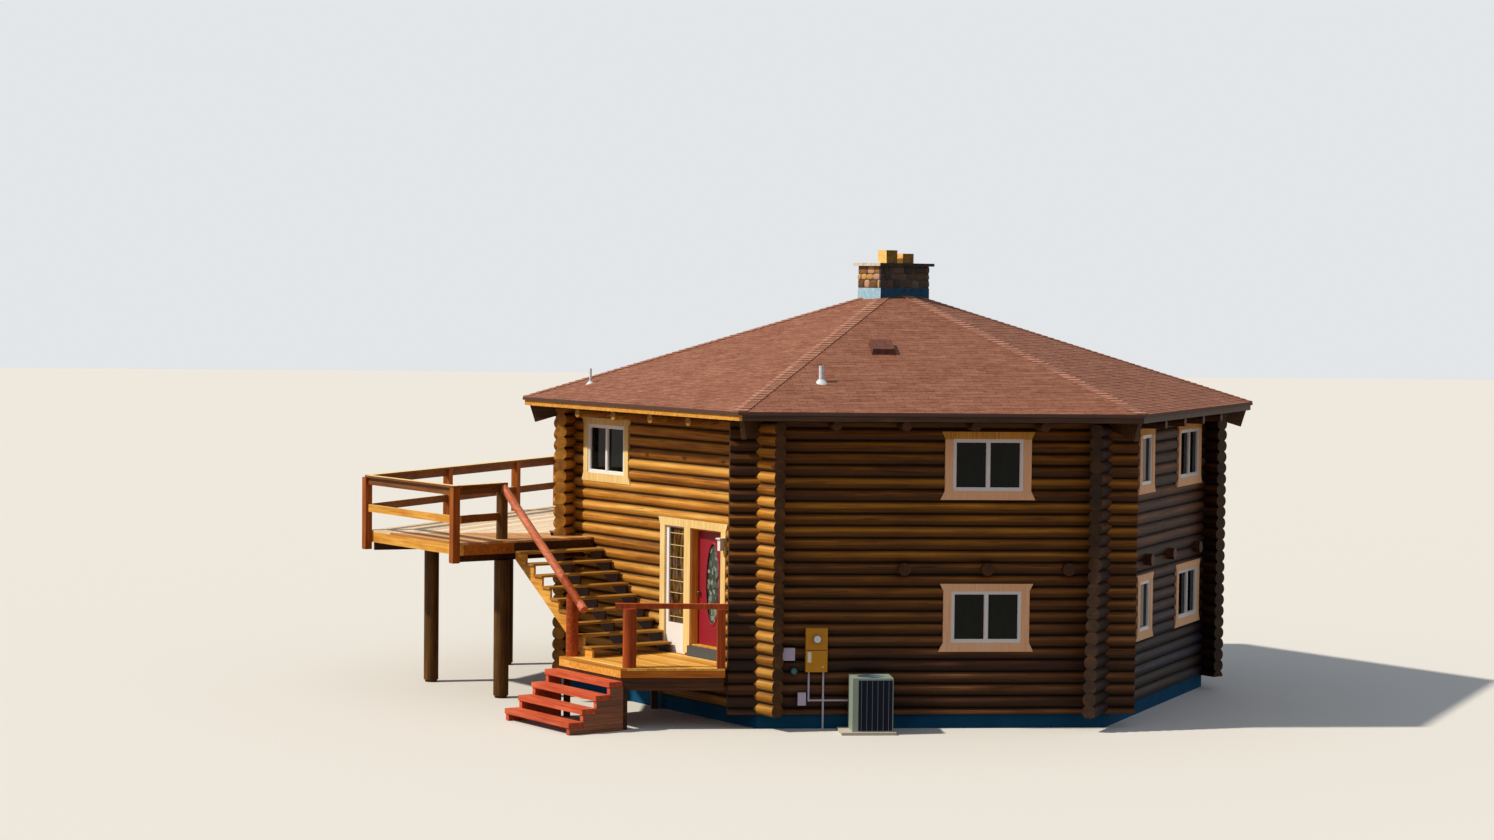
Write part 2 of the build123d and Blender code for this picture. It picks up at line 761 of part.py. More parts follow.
jamb_left = door_left - latch_gap
jamb_right = door_left + door_width + hinge_gap
head_jamb = door_bottom + door_height + latch_gap
jamb_out = (wall_inner + 20.0, casing_face)
frame_out = (casing_face - entry_frame_depth, casing_face)
threshold_top = door_bottom - latch_gap
threshold_thickness = 22.0
hinge_axis = plan_point("front_left", door_left + door_width + hinge_gap / 2, door_inner_face - 6.0)
door_top = door_bottom + door_height
hinge_heights = (door_bottom + hinge_inset, (door_bottom + door_top) / 2, door_top - hinge_inset)
with BuildPart() as entry_frame:
    sidelight = (entry_left + seat_gap, mull_left - seat_gap)
    up = (landing_top + seat_gap, entry_head - seat_gap)
    wall_block("front_left", sidelight, up, frame_out)
    cut = (frame_out[0] - 1, frame_out[1] + 1)
    wall_block("front_left", sidelight_glass, (sidelight_bottom, sidelight_top), cut, Mode.SUBTRACT)
    wall_block("front_left", (mull_left, jamb_left), up, jamb_out)
    wall_block("front_left", (jamb_right, entry_right - seat_gap), up, jamb_out)
    over = (jamb_left + seat_gap, jamb_right - seat_gap)
    wall_block("front_left", over, (head_jamb, entry_head - seat_gap), jamb_out)
    up = (threshold_top - threshold_thickness, threshold_top)
    wall_block("front_left", over, up, (wall_inner, casing_face))
    for height in hinge_heights:
        room = (height - seat_gap, height + knuckle_height + seat_gap)
        upright_log(hinge_axis, hinge_radius + seat_gap, *room, Mode.SUBTRACT)
        upright_log(hinge_axis, hinge_radius, height - knuckle_height - seat_gap, height - seat_gap)
entry_frame.part.label = "entry_frame"
export_step(entry_frame.part, "parts/entry_frame.step")

with BuildPart() as door_step:
    low = landing_top + seat_gap
    high = threshold_top - threshold_thickness - seat_gap
    wall_block("front_left", over, (low, high), (wall_inner + 20.0, wall_outer + 60.0))
door_step.part.label = "door_step"
export_step(door_step.part, "parts/door_step.step")

# The door leaf is cut through for its tall oval light
door_middle = door_left + door_width / 2
door_outer_face = door_inner_face + door_thickness
oval_centre = 2358.0
oval_half_width = 205.0
oval_half_height = 713.0
with BuildPart() as entry_door:
    along = (door_left, door_left + door_width)
    up = (door_bottom, door_bottom + door_height)
    wall_block("front_left", along, up, (door_inner_face, door_outer_face))
    with BuildSketch(wall_plane("front_left", door_inner_face - 1)) as oval:
        with Locations((door_middle, oval_centre)):
            Ellipse(oval_half_width, oval_half_height)
    extrude(oval.sketch, amount=door_thickness + 2, mode=Mode.SUBTRACT)
    for height in hinge_heights:
        room = (height - knuckle_height - 2 * seat_gap, height)
        upright_log(hinge_axis, hinge_radius + seat_gap, *room, Mode.SUBTRACT)
        upright_log(hinge_axis, hinge_radius, height, height + knuckle_height)
entry_door.part.label = "entry_door"
export_step(entry_door.part, "parts/entry_door.step")

oval_glass_thickness = 12.0
with BuildPart() as door_glass:
    glass_low = door_inner_face + door_thickness / 2 - oval_glass_thickness / 2
    with BuildSketch(wall_plane("front_left", glass_low)) as oval_pane:
        with Locations((door_middle, oval_centre)):
            Ellipse(oval_half_width - seat_gap, oval_half_height - seat_gap)
    extrude(oval_pane.sketch, amount=oval_glass_thickness)
door_glass.part.label = "door_glass"
export_step(door_glass.part, "parts/door_glass.step")

# Knob outside: a rose, a neck and a ball
knob_place = (door_left + 70.0, 2180.0)
knob_radius = 28.0
with BuildPart() as door_handle:
    with BuildSketch(wall_plane("front_left", door_outer_face + seat_gap)) as rose:
        with Locations(knob_place):
            Circle(34.0)
    extrude(rose.sketch, amount=8.0)
    with BuildSketch(wall_plane("front_left", door_outer_face + seat_gap)) as neck:
        with Locations(knob_place):
            Circle(11.0)
    extrude(neck.sketch, amount=40.0)
    with BuildSketch(wall_plane("front_left", door_outer_face + 30.0)) as ball:
        with Locations(knob_place):
            Circle(knob_radius)
    extrude(ball.sketch, amount=36.0)
    fillet(door_handle.faces().sort_by(SortBy.AREA)[-1].edges(), radius=12.0)
door_handle.part.label = "door_handle"
export_step(door_handle.part, "parts/door_handle.step")

# Door on to the deck: surround, leaf and pane in one fixed piece
with BuildPart() as deck_door:
    for board in deck_door_boards(-seat_gap / 2):
        with BuildSketch(wall_plane("back_left", casing_face + seat_gap)) as face:
            Polygon(*board, align=None)
        extrude(face.sketch, amount=casing_thickness)
    along = (deck_door_left + seat_gap, deck_door_left + deck_door_width - seat_gap)
    up = (deck_door_bottom + seat_gap, deck_door_bottom + deck_door_height - seat_gap)
    wall_block("back_left", along, up, (casing_face - 100.0, casing_face - 55.0))
deck_door.part.label = "deck_door"
export_step(deck_door.part, "parts/deck_door.step")

# Lantern on the entry's right casing: back plate, arm, body and cap
lantern_along = entry_right + 84.0
lantern_top = 3232.0
lantern_body = 80.0
lantern_cap = 128.0
with BuildPart() as porch_lantern:
    casing_front = casing_face + casing_thickness + 2 * seat_gap
    body_out = (casing_front + 30.0, casing_front + 30.0 + lantern_body)
    body_middle = (body_out[0] + body_out[1]) / 2
    for width, up, out in (
        (70.0, (3090.0, 3200.0), (casing_front, casing_front + 16.0)),
        (24.0, (3150.0, 3170.0), (casing_front, body_out[0] + 5.0)),
        (lantern_body, (3010.0, lantern_top - 24.0), body_out),
        (lantern_cap, (lantern_top - 24.0, lantern_top),
         (casing_front + 6.0, body_middle + lantern_cap / 2)),
    ):
        wall_block("front_left", (lantern_along - width / 2, lantern_along + width / 2), up, out)
porch_lantern.part.label = "porch_lantern"
export_step(porch_lantern.part, "parts/porch_lantern.step")


# Deck
def rail_span(start, end, width, low, high, trims, mode=Mode.ADD):
    """Straight board between two plan points, shortened at each end."""
    line = Vector(*end) - Vector(*start)
    onward = line.normalized()
    aside = Vector(-onward.Y, onward.X) * (width / 2)
    first = Vector(*start) + onward * trims[0]
    last = Vector(*end) - onward * trims[1]
    corners = [first + aside, first - aside, last - aside, last + aside]
    flat_block([(c.X, c.Y) for c in corners], low, high, mode)


def across(along, out):
    """Turn a place by the entry wall into the same place by the wall behind it."""
    return (-along / 2 - out * cos(half_turn), out / 2 - along * cos(half_turn))


def back_point(along, out):
    """Ground-plan place by the back-left wall, along measured away from the entry corner."""
    return plan_point("back_left", -along, out)


corner_near_wall = plan_point("front_left", deck_near_edge, house_face)
corner_stair = plan_point("front_left", deck_near_edge, deck_side_reach)
outer_along = -(deck_back_reach - deck_side_reach / 2) / cos(half_turn)
corner_outer = plan_point("front_left", outer_along, deck_side_reach)
corner_far = back_point(deck_far_edge, deck_back_reach)
corner_far_wall = back_point(deck_far_edge, house_face)
corner_house = (-house_face / cos(half_turn), 0.0)
deck_outline = [
    corner_far_wall, corner_far, corner_outer, corner_stair, corner_near_wall, corner_house,
]
mitre_along = across(outer_along, deck_side_reach)[0]
mitre_out = (-mitre_along - deck_near_edge / 2) / cos(half_turn)
corner_mitre = plan_point("front_left", deck_near_edge, mitre_out)
main_outline = [
    corner_far_wall, corner_far, corner_outer, corner_mitre, corner_near_wall, corner_house,
]
wedge_outline = [corner_outer, corner_stair, corner_mitre]


def cut_corner_notches(low, high, grow):
    """Clear the ends of the corner logs where the deck passes them."""
    for angle in (120.0, 180.0):
        turn = radians(angle)
        outward = Vector(cos(turn), sin(turn))
        aside = Vector(-sin(turn), cos(turn))
        reach = corner_notch_reach + grow
        half = corner_notch_half + grow
        corners = [outward * a + aside * b for a, b in
                   ((wall_inner, -half), (reach, -half), (reach, half), (wall_inner, half))]
        flat_block([(c.X, c.Y) for c in corners], low, high, Mode.SUBTRACT)


# Boards in two fields that meet on a line from the outer corner to the stair side
with BuildPart() as deck_boards:
    low = deck_top - board_thickness
    half_gap = seat_gap / 2
    flat_block(inset_points(main_outline, [0, 0, half_gap, 0, 0, 0]), low, deck_top)
    flat_block(inset_points(wedge_outline, [0, 0, half_gap]), low, deck_top)
    cut_corner_notches(low, deck_top, 0.0)
deck_boards.part.label = "deck_boards"
export_step(deck_boards.part, "parts/deck_boards.step")

# Framing: mitred rim boards and ledgers, and joists square to the boards above
joist_top = deck_top - board_thickness - seat_gap
joist_bottom = joist_top - joist_depth
inside = joist_thickness + seat_gap


def joist_bars(side, first, last, direction, outs):
    """Joists square to a wall, at even spacing from first towards last."""
    bars = []
    along = first
    while direction * (last - along) > joist_thickness:
        bars.append((along - joist_thickness / 2, along + joist_thickness / 2, outs[0], outs[1]))
        along += direction * joist_spacing
    return bars


with BuildPart() as deck_frame:
    for i in range(len(deck_outline)):
        flat_block(mitred_board(deck_outline, i, joist_thickness), joist_bottom, joist_top)
    cut_corner_notches(joist_bottom, joist_top, 0.0)
with BuildPart() as main_joists:
    for low, high, start, end in joist_bars(
        "back_left", mitre_along, deck_far_edge - inside, 1, (wall_inner - 3000, deck_back_reach)
    ):
        points = [back_point(low, start), back_point(high, start)]
        points += [back_point(high, end), back_point(low, end)]
        flat_block(points, joist_bottom, joist_top)
    field = inset_points(main_outline, [inside, inside, -joist_thickness / 2, inside, inside, inside])
    flat_block(field, joist_bottom, joist_top, Mode.INTERSECT)
    cut_corner_notches(joist_bottom, joist_top, seat_gap)
with BuildPart() as wedge_joists:
    for low, high, start, end in joist_bars(
        "front_left", deck_near_edge - joist_spacing, outer_along, -1, (wall_inner, deck_side_reach)
    ):
        points = [plan_point("front_left", low, start), plan_point("front_left", high, start)]
        points += [plan_point("front_left", high, end), plan_point("front_left", low, end)]
        flat_block(points, joist_bottom, joist_top)
    field = inset_points(wedge_outline, [inside, inside, joist_thickness / 2 + seat_gap])
    flat_block(field, joist_bottom, joist_top, Mode.INTERSECT)
frame_pieces = Compound(
    label="deck_frame",
    children=deck_frame.part.solids() + main_joists.part.solids() + wedge_joists.part.solids(),
)
export_step(frame_pieces, "parts/deck_frame.step")

# Beams under the joists, on round log posts
beam_top = joist_bottom - seat_gap
beam_bottom = beam_top - deck_beam_depth
post_top = beam_bottom - seat_gap
stair_post = (-2550.0, 7070.0)
side_post = (-5150.0, 7070.0)
side_post_behind = across(*side_post)
back_post_places = (-620.0, 3000.0)
half_beam = deck_beam_thickness / 2
corner_beam_trims = (40.0, 60.0)
with BuildPart() as deck_beams:
    rail_span(plan_point("front_left", *side_post), corner_outer, deck_beam_thickness,
              beam_bottom, beam_top, corner_beam_trims)
    wall_block("front_left", (stair_post[0] - half_beam, stair_post[0] + half_beam),
               (beam_bottom, beam_top), (house_face, deck_side_reach - 40.0))
    side_end = side_post[0] + half_beam * tan(half_turn) + 5.0
    wall_block("front_left", (side_end, stair_post[0] - half_beam - seat_gap),
               (beam_bottom, beam_top), (side_post[1] - half_beam, side_post[1] + half_beam))
    back_start = side_post_behind[0] + half_beam * tan(half_turn) + 5.0
    back_out = side_post_behind[1]
    wall_block("back_left", (40.0 - deck_far_edge, -back_start),
               (beam_bottom, beam_top), (back_out - half_beam, back_out + half_beam))
deck_beams.part.label = "deck_beams"
export_step(deck_beams.part, "parts/deck_beams.step")

deck_post_places = [plan_point("front_left", *stair_post), plan_point("front_left", *side_post)]
deck_post_places += [back_point(along, back_out) for along in back_post_places]
with BuildPart() as deck_posts:
    for place in deck_post_places:
        upright_log(place, deck_post_radius, deck_post_foot, post_top)
        upright_log(place, deck_post_radius - 25.0, 0.0, deck_post_foot)
deck_posts.part.label = "deck_posts"
export_step(deck_posts.part, "parts/deck_posts.step")

# Rail posts outside the rim, and one round post at the head of the stair
half_post = rail_post_size / 2
post_line = deck_side_reach + seat_gap + half_post
back_line = deck_back_reach + seat_gap + half_post
cap_bottom = deck_top + rail_height - rail_cap_thickness
rail_post_low = deck_top - rail_post_drop
corner_post_along = -(back_line - post_line / 2) / cos(half_turn)
front_posts = [(deck_near_edge - half_post, post_line), (corner_post_along, post_line)]
back_posts = [(-1380.0, back_line), (1400.0, back_line), (deck_far_edge - half_post, back_line)]
wall_post = (deck_far_edge - half_post, house_face + 620.0)


def rail_posts_block(grow):
    """All square rail posts, grown on every side."""
    size = half_post + grow
    for along, out in front_posts:
        wall_block("front_left", (along - size, along + size),
                   (rail_post_low - grow, cap_bottom - seat_gap + grow), (out - size, out + size))
    for along, out in back_posts:
        wall_block("back_left", (-along - size, -along + size),
                   (rail_post_low - grow, cap_bottom - seat_gap + grow), (out - size, out + size))
    along, out = wall_post
    wall_block("back_left", (-along - size, -along + size),
               (deck_top + seat_gap - grow, cap_bottom - seat_gap + grow), (out - size, out + size))


with BuildPart() as rail_posts:
    rail_posts_block(0.0)
    upright_log(plan_point("front_left", *stair_post), stair_post_radius,
                deck_top + seat_gap, cap_bottom - seat_gap)
rail_posts.part.label = "rail_posts"
export_step(rail_posts.part, "parts/rail_posts.step")

with BuildPart() as post_room:
    rail_posts_block(seat_gap)
    upright_log(plan_point("front_left", *stair_post), stair_post_radius + seat_gap,
                deck_top - 1, cap_bottom - seat_gap / 2)


# Rails: a flat cap over the posts, a board on edge under it and a middle board
stair_post_plan = plan_point("front_left", *stair_post)
stair_corner_plan = plan_point("front_left", *front_posts[0])
outer_corner_plan = plan_point("front_left", *front_posts[1])
far_corner_plan = back_point(*back_posts[-1])
wall_post_plan = back_point(*wall_post)
rail_runs = [
    (stair_post_plan, stair_corner_plan), (stair_corner_plan, outer_corner_plan),
    (outer_corner_plan, far_corner_plan), (far_corner_plan, wall_post_plan),
]
mid_rail_low = deck_top + mid_rail_bottom
with BuildPart() as rail_boards:
    for start, end in rail_runs:
        for low, high in ((cap_bottom - seat_gap - rail_board_height, cap_bottom - seat_gap),
                          (mid_rail_low, mid_rail_low + rail_board_height)):
            rail_span(start, end, rail_board_thickness, low, high, (0.0, 0.0))
    add(post_room.part, mode=Mode.SUBTRACT)
cap_half = rail_post_size / 2 + 5.0
lean = atan2(front_posts[0][0] - stair_post[0], front_posts[0][1] - stair_post[1])
cap_meeting = (cap_half * (1 + sin(lean)) + seat_gap) / cos(lean)
with BuildPart() as rail_caps:
    high = cap_bottom + rail_cap_thickness
    rail_span(*rail_runs[0], 2 * cap_half, cap_bottom, high, (-cap_half, cap_meeting))
    rail_span(*rail_runs[1], 2 * cap_half, cap_bottom, high, (-cap_half, cap_half * tan(half_turn)))
    rail_span(*rail_runs[2], 2 * cap_half, cap_bottom, high, (cap_half * tan(half_turn) + 1.0, -cap_half))
    rail_span(*rail_runs[3], 2 * cap_half, cap_bottom, high, (cap_half + seat_gap, -cap_half))
deck_rails = Compound(
    label="deck_rails",
    children=rail_boards.part.solids() + rail_caps.part.solids(),
)
export_step(deck_rails, "parts/deck_rails.step")

# Stair: three notched stringers and nine open treads
stair_inner = house_face + 20.0
stair_outer = stair_inner + stair_width
tread_gap = seat_gap


def tread_top(index):
    """Height of a tread, counted from 1 below the deck."""
    return deck_top - riser * index


def tread_nose(index):
    """Place of a tread's front edge along the entry wall."""
    return first_nosing + going * (index - 1)


stringer_top_end = deck_near_edge + seat_gap
waist_drop = stringer_waist / cos(atan2(riser, going))
outline = [(stringer_top_end, tread_top(1) - tread_thickness - tread_gap)]
for index in range(1, stair_treads_count + 1):
    front = tread_nose(index) - nosing_overhang
    outline.append((front, tread_top(index) - tread_thickness - tread_gap))
    if index < stair_treads_count:
        outline.append((front, tread_top(index + 1) - tread_thickness - tread_gap))
foot_height = landing_top + seat_gap
outline.append((outline[-1][0], foot_height))
last_notch = (tread_nose(stair_treads_count - 1) - nosing_overhang,
              tread_top(stair_treads_count) - tread_thickness - tread_gap)
pitch = riser / going
foot_back = last_notch[0] + (last_notch[1] - waist_drop - foot_height) / pitch
top_back = last_notch[1] - waist_drop + pitch * (last_notch[0] - stringer_top_end)
outline += [(foot_back, foot_height), (stringer_top_end, top_back)]
stringer_places = [stair_inner + 30.0, (stair_inner + stair_outer) / 2, stair_outer - 50.0]
with BuildPart() as stair_stringers:
    for out in stringer_places:
        with BuildSketch(wall_plane("front_left", out - stringer_thickness / 2)) as profile:
            Polygon(*outline, align=None)
        extrude(profile.sketch, amount=stringer_thickness)
stair_stringers.part.label = "stair_stringers"
export_step(stair_stringers.part, "parts/stair_stringers.step")

with BuildPart() as stair_treads:
    for index in range(1, stair_treads_count + 1):
        back = tread_nose(index) - going if index > 1 else deck_near_edge + seat_gap
        up = (tread_top(index) - tread_thickness, tread_top(index))
        wall_block("front_left", (back, tread_nose(index)), up, (stair_inner, stair_outer))
stair_treads.part.label = "stair_treads"
export_step(stair_treads.part, "parts/stair_treads.step")

# Handrail: a peeled log from the side of the stair post down over its newel
handrail_top = (-2436.0, 3844.0)
handrail_foot = (503.0, 1917.0)
handrail_cope = 70.0
newel_place = (86.0, 7187.0)
handrail_line = Vector(*handrail_foot) - Vector(*handrail_top)
handrail_tilt = atan2(-handrail_line.Y, handrail_line.X)


def handrail_point(along, height):
    """Place on the handrail's upright plane, which runs from the stair post to the newel."""
    share = (along - stair_post[0]) / (newel_place[0] - stair_post[0])
    out = stair_post[1] + share * (newel_place[1] - stair_post[1])
    return Vector(*plan_point("front_left", along, out), height)


top_point = handrail_point(*handrail_top)
foot_point = handrail_point(*handrail_foot)
handrail_axis = Plane(origin=top_point, z_dir=foot_point - top_point)
newel_rail_height = handrail_top[1] - (newel_place[0] - handrail_top[0]) * tan(handrail_tilt)
newel_top = newel_rail_height - (handrail_radius + seat_gap) / cos(handrail_tilt)
with BuildPart() as handrail:
    reach = (foot_point - top_point).length + handrail_cope
    round_log(handrail_axis, handrail_radius, -handrail_cope, reach)
    upright_log(plan_point("front_left", *stair_post), stair_post_radius + seat_gap,
                deck_top, handrail_top[1] + 4 * handrail_radius, Mode.SUBTRACT)
    rail_span(*rail_runs[0], 2 * (cap_half + seat_gap), cap_bottom - rail_board_height - 2 * seat_gap,
              cap_bottom + rail_cap_thickness + seat_gap, (-cap_half - seat_gap, 0.0), Mode.SUBTRACT)

with BuildPart() as newel_posts:
    newel_plan = plan_point("front_left", *newel_place)
    upright_log(newel_plan, newel_radius, landing_top + seat_gap, newel_rail_height)
    half = 2 * newel_radius
    drop = half * tan(handrail_tilt)
    slope_cut = [
        (newel_place[0] - half, newel_top + drop), (newel_place[0] + half, newel_top - drop),
        (newel_place[0] + half, newel_top + 2 * half), (newel_place[0] - half, newel_top + 2 * half),
    ]
    with BuildSketch(wall_plane("front_left", newel_place[1] - half)) as cut_face:
        Polygon(*slope_cut, align=None)
    extrude(cut_face.sketch, amount=2 * half, mode=Mode.SUBTRACT)
handrail_and_newel = Compound(
    label="handrail",
    children=handrail.part.solids() + newel_posts.part.solids(),
)
export_step(handrail_and_newel, "parts/handrail.step")

# Landing: boards, rim, beams and legs
landing_outer_right = plan_point("front_left", 0.0, landing_side_reach)
turn = radians(wall_angles["front_left"])
edge_along = (-landing_front - landing_side_reach / 2) / cos(half_turn)
landing_corner = plan_point("front_left", edge_along, landing_side_reach)
right_wall_y = (landing_right * cos(turn) - house_face) / -sin(turn)
landing_outline = [
    plan_point("front_left", 0.0, house_face), landing_outer_right, landing_corner,
    (landing_right, landing_front), (landing_right, right_wall_y),
]
with BuildPart() as landing_boards:
    flat_block(landing_outline, landing_top - board_thickness, landing_top)
landing_boards.part.label = "landing_boards"
export_step(landing_boards.part, "parts/landing_boards.step")

landing_rim_top = landing_top - board_thickness - seat_gap
landing_rim_bottom = landing_rim_top - landing_rim_depth
landing_beam_top = landing_rim_bottom - seat_gap
landing_beam_bottom = landing_beam_top - landing_beam_depth
beam_outline = inset_points(landing_outline, [landing_beam_setback] * 4 + [0.0])
leg_inset = inset_points(landing_outline, [90.0, 110.0, 110.0, 90.0, 90.0])
with BuildPart() as landing_frame:
    for i in range(len(landing_outline)):
        board = mitred_board(landing_outline, i, joist_thickness)
        flat_block(board, landing_rim_bottom, landing_rim_top)
    middle = inset_points(landing_outline, [inside] * 5)
    for along in (500.0, 1000.0, 1500.0):
        wall_block("front_left", (along - joist_thickness / 2, along + joist_thickness / 2),
                   (landing_rim_bottom, landing_rim_top), (house_face + inside, landing_side_reach - inside))
    for i in range(len(beam_outline)):
        board = mitred_board(beam_outline, i, 2 * joist_thickness)
        flat_block(board, landing_beam_bottom, landing_beam_top)
    for x, y in leg_inset[:3]:
        half = landing_leg_size / 2
        points = [(x - half, y - half), (x + half, y - half), (x + half, y + half), (x - half, y + half)]
        flat_block(points, 0.0, landing_beam_bottom - seat_gap)
landing_frame.part.label = "landing_frame"
export_step(landing_frame.part, "parts/landing_frame.step")

# Landing rail: round post by the steps, sawn post by the house, and one rail over both
log_post = plan_point("front_left", 1935.0, 7190.0)
log_post_radius = 118.0
landing_post_top = 2080.0
sawn_post_size = 138.0
sawn_post = (landing_right - sawn_post_size / 2, landing_front + sawn_post_size / 2)
landing_rail_depth = 88.0
landing_rail_width = 90.0
landing_rail_ends = (250.0, 108.0)
with BuildPart() as landing_rail:
    upright_log(log_post, log_post_radius, landing_top + seat_gap, landing_post_top)
    half = sawn_post_size / 2
    x, y = sawn_post
    points = [(x - half, y - half), (x + half, y - half), (x + half, y + half), (x - half, y + half)]
    flat_block(points, landing_top + seat_gap, landing_post_top)
    rail_bottom = landing_post_top + seat_gap
    rail_span(log_post, sawn_post, landing_rail_width, rail_bottom, rail_bottom + landing_rail_depth,
              (-landing_rail_ends[0], -landing_rail_ends[1]))
landing_rail.part.label = "landing_rail"
export_step(landing_rail.part, "parts/landing_rail.step")

# Steps to the ground: thick treads on stepped side stringers
steps_along = (-50.0, 2050.0)
step_stringer_thickness = 90.0
with BuildPart() as lower_steps:
    for index in range(1, steps_count + 1):
        nose = landing_side_reach + seat_gap + step_going * index
        top = landing_top - step_rise * index
        wall_block("front_left", steps_along, (top - step_thickness, top),
                   (nose - step_going - 10.0 * (index > 1), nose))
    outline = [(landing_side_reach - landing_beam_setback + seat_gap, 0.0)]
    for index in range(steps_count, 0, -1):
        front = landing_side_reach + step_going * index - 20.0
        outline.append((front, outline[-1][1]))
        outline.append((front, landing_top - step_rise * index - step_thickness - seat_gap))
    outline.append((outline[0][0], outline[-1][1]))
    for along in (steps_along[0] + 10.0, steps_along[1] - 10.0 - step_stringer_thickness):
        with BuildSketch(along_plane("front_left", along)) as profile:
            Polygon(*[(-out, up) for out, up in outline], align=None)
        extrude(profile.sketch, amount=step_stringer_thickness)
lower_steps.part.label = "lower_steps"
export_step(lower_steps.part, "parts/lower_steps.step")

# Fixtures on the front wall: the meter's box, service boxes with their pipes, and a condenser
meter_box_along = (-2236.0, -1860.0)
meter_box_bottom = 1003.0
with BuildPart() as meter_box:
    out = (house_face, house_face + 130.0)
    wall_block("front", meter_box_along, (meter_box_bottom, 1385.0), out)
    wall_block("front", meter_box_along, (1391.0, 1758.0), out)
    wall_block("front", (-2216.0, -1880.0), (1385.0, 1391.0), (out[0], out[1] - 8.0))
    with BuildSketch(wall_plane("front", out[1])) as dial:
        with Locations((-2045.0, 1578.0)):
            Circle(88.0)
    extrude(dial.sketch, amount=75.0)
meter_box.part.label = "meter_box"
export_step(meter_box.part, "parts/meter_box.step")

condenser_x = (-1490.0, -790.0)
condenser_y = (-6050.0, -5450.0)
condenser_top = 970.0
pad_top = 50.0
valve_seat = 4.9
pipe_radius = 17.0
level_pipe_radius = 15.0
end_pipe_radius = 13.0
pipe_run = 900.0
pipe_height = 500.0
pipe_out = house_face + 25.0
first_pipe = -2170.0
second_pipe = -1918.0
with BuildPart() as service_boxes:
    wall_block("front", (-2631.0, -2419.0), (1197.0, 1411.0), (house_face, house_face + 95.0))
    wall_block("front", (-2360.0, -2220.0), (420.0, 640.0), (house_face, house_face + 85.0))
    round_log(out_plane("front", -2430.0, 1008.0), 50.0, house_face - valve_seat, 70.0)
    start = plan_point("front", first_pipe, pipe_out)
    upright_log(start, pipe_radius, pipe_height - pipe_radius, meter_box_bottom - seat_gap)
    level_run = Plane(origin=(first_pipe, -pipe_out, pipe_height), z_dir=(1, 0, 0))
    round_log(level_run, level_pipe_radius, 0.0, pipe_run + pipe_radius)
    to_case = Plane(origin=(first_pipe + pipe_run, -pipe_out, pipe_height), z_dir=(0, -1, 0))
    round_log(to_case, end_pipe_radius, 0.0, -condenser_y[1] - pipe_out - seat_gap)
    upright_log(plan_point("front", second_pipe, pipe_out), pipe_radius, 0.0, meter_box_bottom - seat_gap)
service_boxes.part.label = "service_boxes"
export_step(service_boxes.part, "parts/service_boxes.step")

fan_radius = 240.0
fan_recess = 40.0


def plan_box(x_range, y_range):
    """Corners of a square-set rectangle in plan."""
    return [(x_range[0], y_range[0]), (x_range[1], y_range[0]),
            (x_range[1], y_range[1]), (x_range[0], y_range[1])]


with BuildPart() as condenser:
    case = plan_box(condenser_x, condenser_y)
    flat_block(case, pad_top + seat_gap, condenser_top)
    middle = (sum(condenser_x) / 2, sum(condenser_y) / 2)
    upright_log(middle, fan_radius, condenser_top - fan_recess, condenser_top + 1, Mode.SUBTRACT)
condenser.part.label = "condenser"
export_step(condenser.part, "parts/condenser.step")

with BuildPart() as condenser_pad:
    flat_block(plan_box((-1680.0, -740.0), (-6120.0, -5430.0)), 0.0, pad_top)
condenser_pad.part.label = "condenser_pad"
export_step(condenser_pad.part, "parts/condenser_pad.step")
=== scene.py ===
"""Looks of the six-sided log house with its deck, outside stair and stone chimney.

Metres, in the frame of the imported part: origin under the middle of the foundation, +Z up,
and the front wall faces -Y.
"""

from functools import partial
from math import atan, cos, hypot, pi, radians, sin, tan

import bpy
import numpy as np
from mathutils import Matrix, Vector


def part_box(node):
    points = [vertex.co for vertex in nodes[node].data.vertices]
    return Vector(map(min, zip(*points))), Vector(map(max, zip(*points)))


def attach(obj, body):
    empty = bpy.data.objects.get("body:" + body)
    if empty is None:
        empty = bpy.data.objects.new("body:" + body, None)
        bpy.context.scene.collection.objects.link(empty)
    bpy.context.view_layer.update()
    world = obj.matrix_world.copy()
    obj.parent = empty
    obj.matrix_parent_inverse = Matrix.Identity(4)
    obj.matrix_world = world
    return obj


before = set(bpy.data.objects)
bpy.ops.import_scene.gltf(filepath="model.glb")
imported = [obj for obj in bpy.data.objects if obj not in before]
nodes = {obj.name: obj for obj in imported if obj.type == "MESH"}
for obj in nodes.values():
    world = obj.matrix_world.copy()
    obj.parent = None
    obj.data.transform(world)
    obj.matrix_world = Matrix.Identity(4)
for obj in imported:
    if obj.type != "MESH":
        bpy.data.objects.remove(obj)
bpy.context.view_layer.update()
rng = np.random.default_rng(7)

# Sizes of the house, as in the part
wall_angles = {"front": -90.0, "front_right": -30.0, "back_right": 30.0,
               "back": 90.0, "back_left": 150.0, "front_left": 210.0}
half_course_walls = ("front", "back_right", "back_left")
hip_share = tan(radians(30))
foundation_height = 0.25
course_height = 0.2105
wall_centre = 5.22
corner_reach = wall_centre * hip_share + 0.05
landing_top = 1.06
landing_reach = 7.4
eave_apothem = 6.07
roof_slope = 0.3476
apex_height = 7.6
house = "house"
leaf = "entry_leaf"
upward = (0.0, 0.0, 1.0)

